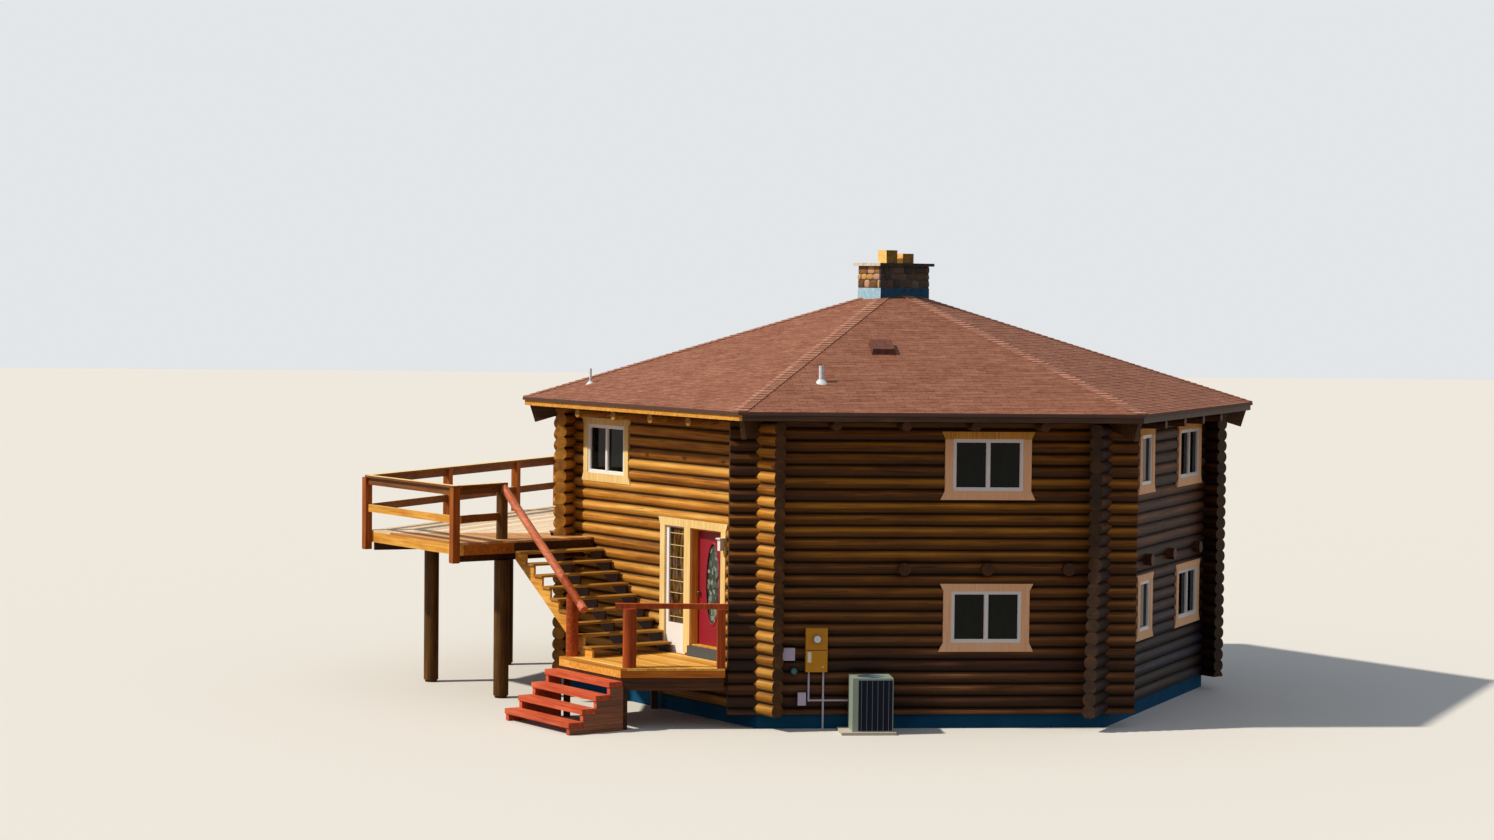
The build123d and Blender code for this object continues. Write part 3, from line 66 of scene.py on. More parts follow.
# Windows: wall, middle, width and sill
wide_window = 1.232
narrow_window = 0.616
window_height = 0.9
lower_sill = 1.493
upper_sill = 4.128
windows = [("front_left", -1.741, wide_window, upper_sill)]
for storey_sill in (lower_sill, upper_sill):
    windows += [
        ("front", 0.918, wide_window, storey_sill),
        ("front_right", -0.95, narrow_window, storey_sill),
        ("front_right", 1.79, wide_window, storey_sill),
        ("back_right", 0.918, wide_window, storey_sill),
        ("back", -0.95, narrow_window, storey_sill),
        ("back", 1.5, wide_window, storey_sill),
        ("back_left", -1.25, wide_window, storey_sill),
    ]


# Placing
def wall_axes(side):
    """Unit vectors of a wall: to the right seen from outside, up, and outwards."""
    angle = radians(wall_angles[side])
    right = np.array([-sin(angle), cos(angle), 0.0])
    outward = np.array([cos(angle), sin(angle), 0.0])
    return right, np.array(upward), outward


def on_wall(side, points):
    """World places of points given as (along, up, out) by a wall."""
    points = np.asarray(points, float)
    right, up, outward = wall_axes(side)
    return points[..., :1] * right + points[..., 1:2] * up + points[..., 2:3] * outward


def plan_place(side, along, out):
    """Level place (x, y) of an upright by a wall."""
    return tuple(on_wall(side, (along, 0.0, out))[:2])


def block(along, up, out):
    """Eight corners of a square block in a wall's own axes."""
    ring = [(along[0], up[0]), (along[1], up[0]), (along[1], up[1]), (along[0], up[1])]
    return np.array([(a, u, out[0]) for a, u in ring] + [(a, u, out[1]) for a, u in ring])


def frame_blocks(side, along, up, rail, out):
    """Two stiles and the two rails between them, of one width, just inside a rectangle on a wall."""
    left, right = along
    low, high = up
    return [
        (side, (left, left + rail), up, out),
        (side, (right - rail, right), up, out),
        (side, (left + rail, right - rail), (low, low + rail), out),
        (side, (left + rail, right - rail), (high - rail, high), out),
    ]


# Meshes
def put(name, data):
    """A new object of the scene."""
    made = bpy.data.objects.new(name, data)
    bpy.context.scene.collection.objects.link(made)
    return made


def mesh_piece(name, points, faces, material, body=house, smooth=False):
    """One named mesh that rides on a body and takes its finish from a material slot."""
    mesh = bpy.data.meshes.new(name)
    mesh.from_pydata(points.tolist(), [], faces if isinstance(faces, list) else faces.tolist())
    mesh.update()
    mesh.materials.append(material)
    if smooth:
        mesh.polygons.foreach_set("use_smooth", [True] * len(mesh.polygons))
    piece = put(name, mesh)
    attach(piece, body)
    return piece


def grid_faces(rows, columns):
    """Quads between neighbours of a grid of points, row after row, closed on itself both ways."""
    row, column = np.meshgrid(np.arange(rows), np.arange(columns), indexing="ij")
    following = (row + 1) % rows
    beside = (column + 1) % columns
    ring = [row * columns + column, following * columns + column,
            following * columns + beside, row * columns + beside]
    return np.stack(ring, -1).reshape(-1, 4)


def set_shades(piece, shades, points_each):
    """One shade for all the points of each block or stone."""
    data = piece.data.attributes.new("shade", "FLOAT", "POINT").data
    data.foreach_set("value", np.repeat(shades, points_each))


box_faces = np.array([(0, 3, 2, 1), (4, 5, 6, 7), (0, 1, 5, 4), (1, 2, 6, 5), (2, 3, 7, 6), (3, 0, 4, 7)])
grain_shift = 40


def blocks_piece(name, corners, material, body=house):
    """One mesh of closed blocks, each with its own shade and its grain along its longest side."""
    corners = np.asarray(corners, float)
    count = len(corners)
    faces = (box_faces[None] + 8 * np.arange(count)[:, None, None]).reshape(-1, 4)
    piece = mesh_piece(name, corners.reshape(-1, 3), faces, material, body)
    set_shades(piece, rng.random(count), 8)
    sides = corners[:, (1, 3, 4)] - corners[:, :1]
    lengths = np.linalg.norm(sides, axis=2)
    order = np.argsort(-lengths, axis=1)
    local = (corners - corners[:, :1]) @ (sides / lengths[..., None]).transpose(0, 2, 1)
    grain = np.take_along_axis(local, order[:, None], 2)
    grain = grain + rng.random((count, 1, 3)) * grain_shift
    grain_data = piece.data.attributes.new("grain", "FLOAT_VECTOR", "POINT").data
    grain_data.foreach_set("vector", grain.reshape(-1))
    return piece


def wall_blocks(name, items, material, body=house):
    """Blocks given as (side, along, up, out) ranges."""
    corners = [on_wall(side, block(along, up, out)) for side, along, up, out in items]
    return blocks_piece(name, corners, material, body)


# Shader building
def linear(code):
    """Linear colour of an sRGB hex code."""
    parts = [int(code[i:i + 2], 16) / 255 for i in (1, 3, 5)]
    return [p / 12.92 if p <= 0.04045 else ((p + 0.055) / 1.055) ** 2.4 for p in parts] + [1.0]


log_places = (0.2, 0.38, 0.52, 0.66, 0.85)
bright_log_places = (0.2, 0.36, 0.5, 0.66, 0.88)
early_places = (0.15, 0.45, 0.62, 0.85)
matt_places = (0.3, 0.6)


def ramp(codes, places=(0.2, 0.45, 0.62, 0.85)):
    """Stops of a colour ramp, a place for each of the sRGB hex codes."""
    return list(zip(places, codes.split()))


def add(tree, kind, *inputs, output=None, stops=(), **settings):
    """A shader node, given back as one of its outputs: the named one, or else the first in use.

    A word before its inputs is its operation, and its inputs in use take the given values or sockets in
    order. A setting whose name starts with a capital is an input, the others are the node's own, and
    stops are a ramp's (place, hex) pairs.
    """
    made = tree.nodes.new("ShaderNode" + kind)
    if inputs and isinstance(inputs[0], str):
        made.operation, *inputs = inputs
    for name, value in settings.items():
        if not name[0].isupper():
            setattr(made, name, value)
    if stops:
        elements = made.color_ramp.elements
        while len(elements) < len(stops):
            elements.new(0.5)
        for element, (place, code) in zip(elements, stops):
            element.position = place
            element.color = linear(code)
    fills = list(zip([socket for socket in made.inputs if socket.enabled], inputs))
    fills += [(made.inputs[name], value) for name, value in settings.items() if name[0].isupper()]
    for socket, value in fills:
        if isinstance(value, bpy.types.NodeSocket):
            tree.links.new(value, socket)
        else:
            socket.default_value = value
    if output:
        return made.outputs[output]
    return next(socket for socket in made.outputs if socket.enabled)


def new_material(name, roughness, **sockets):
    """Empty material, the call that adds its nodes, and its surface shader."""
    material = bpy.data.materials.new(name)
    material.use_nodes = True
    shader = material.node_tree.nodes["Principled BSDF"]
    shader.inputs["Roughness"].default_value = roughness
    for key, value in sockets.items():
        shader.inputs[key.replace("_", " ")].default_value = value
    return material, partial(add, material.node_tree), shader


def dress(node, shader, colour, height=None, depth=0.0, strength=0.6):
    """Colour of a surface from a socket, and its small relief from a height pattern, depth in metres."""
    links = shader.id_data.links
    links.new(colour, shader.inputs["Base Color"])
    if height is not None:
        links.new(node("Bump", Height=height, Distance=depth, Strength=strength), shader.inputs["Normal"])


def own_place(node):
    """The part's own coordinates, in metres."""
    return node("TexCoord", output="Object")


def mix(node, share, first, second, **settings):
    """Mix of two colours by the share of the second."""
    return node("Mix", share, first, second, data_type="RGBA", **settings)


def clouds(node, place, scale, detail=4.0, roughness=0.55, turn=(0.0, 0.0, 0.0)):
    """Uneven pattern in features a metre: one number, or one for each axis of coordinates turned first."""
    if not isinstance(scale, float):
        turned = node("Mapping", place, Rotation=turn)
        place = node("Mapping", turned, Scale=scale)
        scale = 1.0
    return node("TexNoise", place, scale, detail, roughness)


facing_share = 0.8


def zone_mask(node, kind, *sizes):
    """1 in a zone: out or along past a wall's distance, above or below a height, near an upright,
    or on faces turned one way."""
    place = own_place(node)
    if kind in ("above", "below"):
        height = node("VectorMath", "DOT_PRODUCT", place, upward)
        return node("Math", height, sizes[0], operation="LESS_THAN" if kind == "below" else "GREATER_THAN")
    if kind == "near":
        level = node("VectorMath", "MULTIPLY", place, (1.0, 1.0, 0.0))
        gap = node("VectorMath", "DISTANCE", level, (*sizes[0], 0.0))
        return node("Math", "LESS_THAN", gap, sizes[1])
    direction = sizes[0]
    if direction in wall_angles:
        direction = tuple(wall_axes(direction)[0 if kind == "along" else 2])
    if kind == "facing":
        normal = node("NewGeometry", output="True Normal")
        share = node("VectorMath", "DOT_PRODUCT", normal, direction)
        return node("Math", "GREATER_THAN", share, facing_share)
    reach = node("VectorMath", "DOT_PRODUCT", place, direction)
    return node("Math", "GREATER_THAN", reach, sizes[1])


def zoned(node, value, stops, zones):
    """Ramp colour, changed zone by zone: each zone is its stops and the masks it must meet."""
    colour = node("ValToRGB", value, stops=stops)
    for zone_stops, *masks in zones:
        mask = 1.0
        for kind, *sizes in masks:
            mask = node("Math", "MULTIPLY", mask, zone_mask(node, kind, *sizes))
        colour = mix(node, mask, colour, node("ValToRGB", value, stops=zone_stops))
    return colour


def plain(name, code, roughness=0.5, spread=0.0, scale=30.0, relief=0.0, **sockets):
    """Even finish whose tone varies by a share up and down, in features a metre."""
    material, node, shader = new_material(name, roughness, **sockets)
    shader.inputs["Base Color"].default_value = linear(code)
    if spread:
        pattern = clouds(node, own_place(node), scale)
        tone = node("Math", "MULTIPLY_ADD", pattern, 2 * spread, 1 - spread)
        shade = node("CombineColor", tone, tone, tone)
        colour = mix(node, 1.0, linear(code), shade, blend_type="MULTIPLY")
        dress(node, shader, colour, pattern if relief else None, relief)
    return material


def matt_finish(name, codes, zone_codes, mask):
    """Chalky or mineral surface between two tones, and between two others in one zone."""
    material, node, shader = new_material(name, 0.8, Specular_IOR_Level=0.2)
    pattern = clouds(node, own_place(node), 14.0, 5.0)
    tones = zoned(node, pattern, ramp(codes, matt_places), [(ramp(zone_codes, matt_places), mask)])
    dress(node, shader, tones, pattern, 0.003)
    return material


# Log walls: peeled softwood logs, honey-toned on the walls the key light falls on, darker and bluer on those
# turned from it: stain and painted shade together.
# To the eye each course has its own tone, with drying cracks along it, a bed between two logs darkened by
# grime and painted shade, painted shade on the lower part of each log, and growth rings on the sawn ends.
wood_gloss = 0.2
underside_painted_shade = "#170b04"
bed_dirt_and_shade = "#100701"
crack_limit = 0.69
ring_count = 420.0
light_height = 1.5


def log_material(name, side, upper_stops, lower_stops, end_stops, underside):
    """Logs of one wall, with the grain along it. underside is the share of painted shade on the lower part
    of each log.
    """
    material, node, shader = new_material(name, 0.62, Specular_IOR_Level=wood_gloss)
    turn = radians(wall_angles[side] + 90)
    wall = node("Mapping", own_place(node), Rotation=(0, 0, -turn))
    along, through, height = node("SeparateXYZ", wall).node.outputs

    shift = 0.5 if side in half_course_walls else 0.0
    course = node("Math", "SUBTRACT", height, foundation_height)
    course = node("Math", "DIVIDE", course, course_height)
    course = node("Math", "ADD", course, shift)
    index = node("Math", "FLOOR", course)
    tone = node("TexWhiteNoise", index, noise_dimensions="1D")
    moved = node("CombineXYZ", node("Math", "MULTIPLY", tone, 17.0))
    own = node("VectorMath", "ADD", wall, moved)

    grain = clouds(node, own, (0.7, 9.0, 22.0), 5.0, 0.6)
    patches = clouds(node, own, (0.9, 3.0, 4.0), 3.0)
    value = node("Math", "MULTIPLY", patches, 0.34)
    value = node("Math", "MULTIPLY_ADD", grain, 0.62, value)
    value = node("Math", "ADD", value, node("Math", "MULTIPLY_ADD", tone, 0.22, -0.10))
    stub = node("Math", "LESS_THAN", along, -corner_reach)
    value = node("Math", "MULTIPLY_ADD", stub, -0.1, value)
    blotches = clouds(node, own, (0.5, 1.5, 2.5), 3.0)
    level = node("Math", "SUBTRACT", height, light_height)
    level = node("Math", "MULTIPLY_ADD", blotches, 3.0, level)
    high = node("MapRange", level, 1.2, 3.8, 0.0, 1.0)
    colour = mix(node, high, node("ValToRGB", value, stops=lower_stops),
                  node("ValToRGB", value, stops=upper_stops))

    crack = node("Math", "GREATER_THAN", clouds(node, own, (0.9, 20.0, 42.0), 2.0), crack_limit)
    depth = node("Math", "MULTIPLY", crack, 0.7)
    colour = mix(node, depth, colour, linear(lower_stops[0][1]))
    rise = node("Math", "FRACT", course)
    # Painted shade on the lower part of each log
    under = node("MapRange", rise, 0.4, 0.66, underside, 0.0)
    colour = mix(node, under, colour, linear(underside_painted_shade))
    # Grime and painted shade in the bed between two logs
    phase = node("Math", "ABSOLUTE", node("Math", "SUBTRACT", rise, 0.5))
    bed_dirt_and_shade_share = node("MapRange", phase, 0.26, 0.48, 0.0, 0.95)
    colour = mix(node, bed_dirt_and_shade_share, colour, linear(bed_dirt_and_shade))

    middle = node("Math", "ADD", index, 0.5)
    lift = node("Math", "MULTIPLY", node("Math", "SUBTRACT", course, middle), course_height)
    reach = node("Math", "ADD", through, wall_centre)
    radius = node("VectorMath", "LENGTH", node("CombineXYZ", lift, reach))
    rings = node("Math", "SINE", node("Math", "MULTIPLY", radius, ring_count))
    rings = node("Math", "MULTIPLY_ADD", rings, 0.12, node("Math", "MULTIPLY", patches, 0.9))
    normal = node("NewGeometry", output="True Normal")
    share = node("VectorMath", "DOT_PRODUCT", normal, tuple(wall_axes(side)[0]))
    share = node("Math", "ABSOLUTE", share)
    is_end = node("Math", "GREATER_THAN", share, facing_share)
    colour = mix(node, is_end, colour, node("ValToRGB", rings, stops=end_stops))

    relief = node("Math", "SUBTRACT", grain, node("Math", "MULTIPLY", crack, 0.8))
    dress(node, shader, colour, relief, 0.012, 0.7)
    return material


amber_logs = ramp("#301703 #683a08 #9a6010 #c07f1c #e0aa48", log_places)
umber_logs = ramp("#1c0d05 #3c200c #643a16 #7e5430 #74647e", log_places)
plum_shade_logs = [(0.2, "#0c0706"), (0.38, "#1a100c"), (0.5, "#2c1b14"), (0.64, "#2c3048"), (0.85, "#584642")]
soot_and_shade_logs = ramp("#1c0e05 #3a1f0e #5a351a #7a4e2a #94705a", log_places)
honey_logs = ramp("#542a05 #965a10 #c8842a #e4aa50 #f6d090", bright_log_places)
tan_logs = ramp("#482608 #845216 #b07a2c #d29c4c #e8c488", bright_log_places)
dark_ends = [(0.2, "#140a05"), (0.5, "#33200f"), (0.8, "#5a3c1e")]
honey_ends = [(0.2, "#5a3208"), (0.5, "#a06a1c"), (0.8, "#cc963e")]
brown_ends = [(0.2, "#241204"), (0.5, "#4a2c0e"), (0.8, "#7c5220")]
# Each wall's upper and lower palettes, end grain and share of painted underside shade: walls turned from the
# key light take darker, bluer palettes and more painted shade
wall_looks = {
    "front": (amber_logs, umber_logs, dark_ends, 0.72),
    "front_right": (soot_and_shade_logs, plum_shade_logs, dark_ends, 0.6),
    "back_right": (umber_logs, plum_shade_logs, dark_ends, 0.6),
    "back": (amber_logs, umber_logs, dark_ends, 0.6),
    "back_left": (honey_logs, tan_logs, honey_ends, 0.3),
    "front_left": (honey_logs, tan_logs, brown_ends, 0.3),
}


# Sawn and peeled timber
def timber(name, stops, axis="z", turn=0.0, zones=()):
    """Stained timber with its grain along an axis turned about the vertical, and zones of other stain."""
    material, node, shader = new_material(name, 0.6, Specular_IOR_Level=wood_gloss)
    place = own_place(node)
    scale = {"x": (1.2, 26.0, 26.0), "z": (26.0, 26.0, 1.2)}[axis]
    grain = clouds(node, place, scale, 5.0, 0.6, (0.0, 0.0, -turn))
    patches = node("Math", "MULTIPLY", clouds(node, place, 1.4, 2.0), 0.3)
    value = node("Math", "MULTIPLY_ADD", grain, 0.7, patches)
    dress(node, shader, zoned(node, value, stops, zones), grain, 0.004)
    return material


def board_wood(name, stops):
    """Stained boards of a mesh of blocks, each with its own tone, with the grain along the board."""
    material, node, shader = new_material(name, 0.6)
    place = node("Attribute", attribute_name="grain", output="Vector")
    shade = node("Attribute", attribute_name="shade", output="Fac")
    grain = clouds(node, place, (1.5, 30.0, 30.0), 5.0, 0.6)
    value = node("Math", "MULTIPLY_ADD", grain, 0.75, node("Math", "MULTIPLY_ADD", shade, 0.3, -0.02))
    dress(node, shader, node("ValToRGB", value, stops=stops), grain, 0.002)
    return material


board_width = 0.146
plank_width = 0.12
half_joint = 0.004
joint_shadow = "#1d130c"


def board_field(node, stops, turn, width):
    """Colour and relief of boards side by side with open joints, on a level face."""
    place = node("Mapping", own_place(node), Rotation=(0, 0, -turn))
    across = node("VectorMath", "DOT_PRODUCT", place, (0, 1, 0))
    across = node("Math", "DIVIDE", across, width)
    index = node("Math", "FLOOR", across)
    tone = node("TexWhiteNoise", index, noise_dimensions="1D")
    moved = node("CombineXYZ", node("Math", "MULTIPLY", tone, 9.0))
    own = node("VectorMath", "ADD", place, moved)
    grain = clouds(node, own, (1.2, 26.0, 26.0), 5.0, 0.6)
    value = node("Math", "MULTIPLY_ADD", grain, 0.62, node("Math", "MULTIPLY", tone, 0.38))
    edge = node("Math", "SUBTRACT", node("Math", "FRACT", across), 0.5)
    edge = node("Math", "ABSOLUTE", edge)
    joint = node("Math", "GREATER_THAN", edge, 0.5 - half_joint / width)
    joint = node("Math", "MULTIPLY", joint, zone_mask(node, "facing", upward))
    colour = mix(node, joint, node("ValToRGB", value, stops=stops), linear(joint_shadow))
    return colour, node("Math", "SUBTRACT", grain, joint)


def laid_boards(name, stops, turn, width, second=None):
    """Floor boards; a second field of (stops, turn) lies on the entry wall's side of the deck's mitre."""
    material, node, shader = new_material(name, 0.65, Specular_IOR_Level=wood_gloss)
    colour, relief = board_field(node, stops, turn, width)
    if second:
        side = node("VectorMath", "DOT_PRODUCT", own_place(node), (0, 1, 0))
        mitre = node("Math", "LESS_THAN", side, 0.0)
        other_colour, other_relief = board_field(node, *second, width)
        colour = mix(node, mitre, colour, other_colour)
        relief = node("Mix", mitre, relief, other_relief)
    dress(node, shader, colour, relief, 0.004)
    return material


yellow_stops = ramp("#8f5414 #cc8a30 #e8b050 #f7d78e", early_places)
cream_stops = ramp("#c79a50 #e6c27a #f2d898 #fbecc0", early_places)
brown_stops = ramp("#170b04 #361c0a #532e12 #7a4e28")
rim_stops = ramp("#5e2c08 #9c5412 #bc6c1c #d89040")
rail_stops = ramp("#40200a #6c3c12 #87511c #aa763c")
red_stops = ramp("#702810 #b84c2a #d66a46 #f09a78")
plank_stops = ramp("#3c1c0c #6e3e22 #8a5230 #ac7450")
rose_stops = ramp("#7a3418 #b45f3c #cc7a56 #e8a488")
russet_stops = ramp("#4c1804 #8a380c #aa4a14 #c87038")
cedar_stops = ramp("#4c2004 #8a440c #a85a16 #cc8644")
tread_stops = ramp("#5c360c #946420 #bc8c3c #dcb878")
bleached_stops = ramp("#c2a47e #e2c8a4 #f0dcc0 #faeeda", early_places)
wedge_stops = ramp("#8c5424 #b87c40 #cf9a5c #e6be8a", early_places)
olive_stops = ramp("#221404 #4c2f0a #704a14 #946c2c")
fascia_stops = ramp("#241710 #3f2c20 #59422f #7c6248")
pale_stops = ramp("#e4a870 #f8c08e #fcce9e #fde0bc", early_places)
hip_stops = ramp("#1c1006 #3a2410 #5c3c1c #7c5a30")
frame_white = [(0.2, "#e4e2de"), (0.8, "#f0eeea")]

left_turn = radians(wall_angles["front_left"] + 90)
back_turn = radians(wall_angles["back_left"] + 90)
stair_post_place = plan_place("front_left", -2.55, 7.07)
newel_place = plan_place("front_left", 0.086, 7.187)
post_zone_radius = 0.3
outer_edge = ("out", "front_left", 8.12)

# Rough-sawn fir: dull dark brown with long soft grain; lighter orange, yellow and cream are painted light on
# sunny faces and tops, and dark brown is painted shade where the stair and deck shade it
brown_beams = timber("dark_beams", brown_stops, "x", back_turn)
# Rims: dark brown painted shade behind the stair, orange-brown beyond it, painted sunlight yellow on the
# outer edge
rim_look = timber("rims_painted_sun_and_shade", brown_stops, "x", left_turn, [
    (rim_stops, ("out", "front_left", 7.06)),
    (yellow_stops, outer_edge),
    (brown_stops, ("facing", "back_left")),
])
# Rails: painted sunlight yellow on the low outer rails, painted light cream on upward faces
rail_look = timber("rails_painted_sun", rail_stops, "x", left_turn, [
    (yellow_stops, outer_edge, ("below", 3.5)),
    (cream_stops, ("facing", upward)),
])
# Stringers: dark brown painted shade on the inner ones, painted sunlight yellow on the outer one
stringer_look = timber("stair_stringer_wood", brown_stops, "x", left_turn, [
    (yellow_stops, ("out", "front_left", 6.8)),
])
tread_look = timber("stair_tread_wood", tread_stops, "x", left_turn + pi / 2)
# Landing rims: painted sunlight yellow on the sunny face, painted light cream on top, painted shade brown
# below
landing_frame_look = timber("landing_rims", rim_stops, "x", 0.0, [
    (yellow_stops, ("facing", "front_left")),
    (cream_stops, ("facing", upward)),
    (brown_stops, ("below", 0.9)),
])
# Cedar, sawn: orange-brown with fine upright grain
post_look = timber("cedar_posts", cedar_stops, zones=[
    (olive_stops, ("near", stair_post_place, post_zone_radius)),
])
# Pine poles, peeled and stained: dark olive-brown, matt
log_post_look = timber("peeled_log_posts", olive_stops)
# Red stain on turned and sawn pine: brick red, darker near the newel, and a lighter red painted as light on
# the landing rail's upward faces
handrail_look = timber("red_handrail", rose_stops, "x", left_turn, [
    (russet_stops, ("near", newel_place, post_zone_radius)),
])
landing_rail_look = timber("red_landing_rail", russet_stops, zones=[(red_stops, ("facing", upward))])
step_look = timber("red_step_wood", red_stops, "x", left_turn)
# Decking: boards greyed pale by the sun, and the newer golden ones of the entry side
deck_floor = laid_boards("bleached_deck_boards", bleached_stops, back_turn, board_width,
                         (wedge_stops, left_turn))
landing_floor = laid_boards("landing_boards", yellow_stops, left_turn, board_width)
# Planed pine of eaves and openings: brown in the shade, cream to yellow on the sunny wall
entry_casing_look = timber("cream_casing_wood", cream_stops)
fascia_look = timber("fascia_wood", fascia_stops, "x", 0.0, [(yellow_stops, ("out", "front_left", 5.99))])
tail_look = timber("roof_tail_wood", brown_stops, "x", 0.0, [(tread_stops, ("out", "front_left", 5.2))])
hip_look = timber("hip_timber", hip_stops, "x", 0.0)
# Casing heads under the eave are painted yellower and darker as painted shade; those on the sunny wall are
# cream
casing_look = timber("sawn_casing_wood", pale_stops, zones=[
    (yellow_stops, ("above", 5.02)),
    (cream_stops, ("out", "front_left", 5.25)),
])
entry_frame_look = timber("entry_frame_wood", frame_white, zones=[
    (yellow_stops, ("along", "front_left", 0.86)),
])
deck_door_look = timber("deck_door_finish", frame_white, zones=[(pale_stops, ("out", "back_left", 5.3))])
# Extruded vinyl: even off-white with a soft sheen
white_vinyl = plain("white_vinyl", "#eceae6", 0.35)

# Shingles: mineral granules pressed on asphalt. Grit, short dark dashes and a shadow line at each butt.
tab_width = 0.305
exposure = 0.127
tab_slot = 0.006
tab_butt = 0.012
tab_head = 0.003
narrowest_tab = 0.02
most_tabs = 29
head_lap = 0.02
eave_setback = 0.008
bare_top = 0.45
slope_angle = atan(roof_slope)
butt_shadow = "#4a2a1e"
grit_scale = 260.0


def shingle_material(name, stops):
    """Brown asphalt shingles, with the rows worked out from the drop below the roof's top."""
    material, node, shader = new_material(name, 0.9, Specular_IOR_Level=0.2)
    place = own_place(node)
    shade = node("Attribute", attribute_name="shade", output="Fac")
    grit = clouds(node, place, grit_scale, 2.0)
    dashes = clouds(node, place, (6.0, 6.0, 48.0), 3.0, 0.7)
    streaks = clouds(node, place, 1.1)
    value = node("Math", "MULTIPLY_ADD", shade, 0.14, node("Math", "MULTIPLY", grit, 0.45))
    value = node("Math", "MULTIPLY_ADD", streaks, 0.12, value)
    value = node("Math", "ADD", value, node("Math", "MULTIPLY_ADD", dashes, 0.9, -0.3))
    height = node("VectorMath", "DOT_PRODUCT", place, upward)
    drop = node("Math", "SUBTRACT", apex_height, height)
    row = node("Math", "DIVIDE", drop, exposure * sin(slope_angle))
    line = node("Math", "GREATER_THAN", node("Math", "FRACT", row), 0.72)
    line = node("Math", "MULTIPLY", line, node("Math", "MULTIPLY", dashes, 1.1))
    colour = mix(node, line, node("ValToRGB", value, stops=stops), linear(butt_shadow))
    dress(node, shader, colour, grit, 0.003, 0.5)
    return material


def roof_point(along, out, lift):
    """Places by a wall of points lifted square off the roof: along, up and out."""
    up = apex_height - roof_slope * out + lift * cos(slope_angle)
    return np.stack([along, up, out + lift * sin(slope_angle)], -1)


def lifted_leaves(butt, head, lifts):
    """Eight corners of tapered leaves on a slope: butt and head are arrays of (left, right, out), joined
    round, first at the lifts of the underside and then at those of the top."""
    corners = []
    for butt_lift, head_lift in lifts:
        corners += [roof_point(butt[0], butt[2], butt_lift), roof_point(butt[1], butt[2], butt_lift),
                    roof_point(head[1], head[2], head_lift), roof_point(head[0], head[2], head_lift)]
    return np.stack(corners, -2)


def shingle_tabs():
    """Tabs in rows one exposure apart up the six slopes, every second row half a tab along, and each tab
    cut off at the hips, which stand tan 30 degrees times the reach from the middle."""
    step = exposure * cos(slope_angle)
    row = np.arange(int((eave_apothem - bare_top) / step))[:, None]
    place = tab_width * (np.arange(most_tabs) - most_tabs // 2 - 0.5 * (row % 2))
    butt = eave_apothem - eave_setback - row * step + 0 * place
    edges = []
    for out in (butt, butt - step - head_lap):
        limit = out * hip_share
        left = np.clip(place + tab_slot / 2, -limit, limit)
        right = np.clip(place + tab_width - tab_slot / 2, -limit, limit)
        edges.append((left, right, out))
    tabs = lifted_leaves(*edges, ((0.0, 0.0), (tab_butt, tab_head)))
    wide = edges[0][1] - edges[0][0] >= narrowest_tab
    return np.concatenate([on_wall(side, tabs[wide]) for side in wall_angles])


cap_reach = 0.15
cap_setback = 0.014
cap_lap = 1.3
cap_lifts = ((0.012, 0.006), (0.026, 0.014))
bare_hip_top = 0.5


def hip_caps():
    """Bent cap shingles up each hip: on either slope a leaf from the hip to the cap's reach, one exposure
    of the hip's own length apart."""
    hip_length = hypot(eave_apothem / cos(radians(30)), eave_apothem * roof_slope)
    pitch = exposure * eave_apothem / hip_length
    low = eave_apothem - cap_setback - pitch * np.arange(int((hip_length - bare_hip_top) / exposure))
    caps = []
    for side in wall_angles:
        for hand in (-1, 1):
            edges = []
            for out in (low, low - cap_lap * pitch):
                hip = hand * out * hip_share
                inner = hip - hand * cap_reach
                edges.append((np.minimum(hip, inner), np.maximum(hip, inner), out))
            caps.append(on_wall(side, lifted_leaves(*edges, cap_lifts)))
    return np.concatenate(caps)


shingles = shingle_material("asphalt_shingles", [
    (0.15, "#60361f"), (0.4, "#8a5843"), (0.6, "#a06c55"), (0.9, "#c08c76")])
cap_shingles = shingle_material("hip_cap_asphalt", [
    (0.15, "#6e4432"), (0.4, "#9c6c56"), (0.6, "#b4806a"), (0.9, "#cc9c88")])
blocks_piece("roof_shingles", shingle_tabs(), shingles)
blocks_piece("hip_cap_shingles", hip_caps(), cap_shingles)

# Chimney: rubble veneer of rounded stones in raked mortar
chimney_turn = radians(30)
chimney_shaded = (sin(chimney_turn), -cos(chimney_turn), 0.0)
chimney_half = (0.577, 0.342)
chimney_stone_low = 7.614
chimney_stone_high = 8.029
stone_rows = 3
stone_widths = (0.11, 0.27)
stone_swells = (0.018, 0.034)
stone_power = 3.2
stone_steps = 5


def stone_material():
    """Field stone, split and laid dry-faced: ochre, brown and tan, each stone of one tone, and dull; the
    stones on the face turned from the key light take painted shade.
    """
    material, node, shader = new_material("field_stone", 0.85)
    shade = node("Attribute", attribute_name="shade", output="Fac")
    pattern = clouds(node, own_place(node), 24.0, 5.0)
    value = node("Math", "MULTIPLY_ADD", shade, 0.8, node("Math", "MULTIPLY", pattern, 0.25))
    stops = [(0.05, "#3a2616"), (0.3, "#7a5226"), (0.5, "#b07a2c"), (0.7, "#c99a5e"), (0.95, "#b08a78")]
    # Painted shade for the stones of the face turned from the key light
    dark = [(0.05, "#14100e"), (0.3, "#241e18"), (0.5, "#38302a"), (0.7, "#4c3c26"), (0.95, "#5a544c")]
    colour = zoned(node, value, stops, [(dark, ("out", chimney_shaded, chimney_half[1] - 0.04))])
    dress(node, shader, colour, pattern, 0.012)
    return material


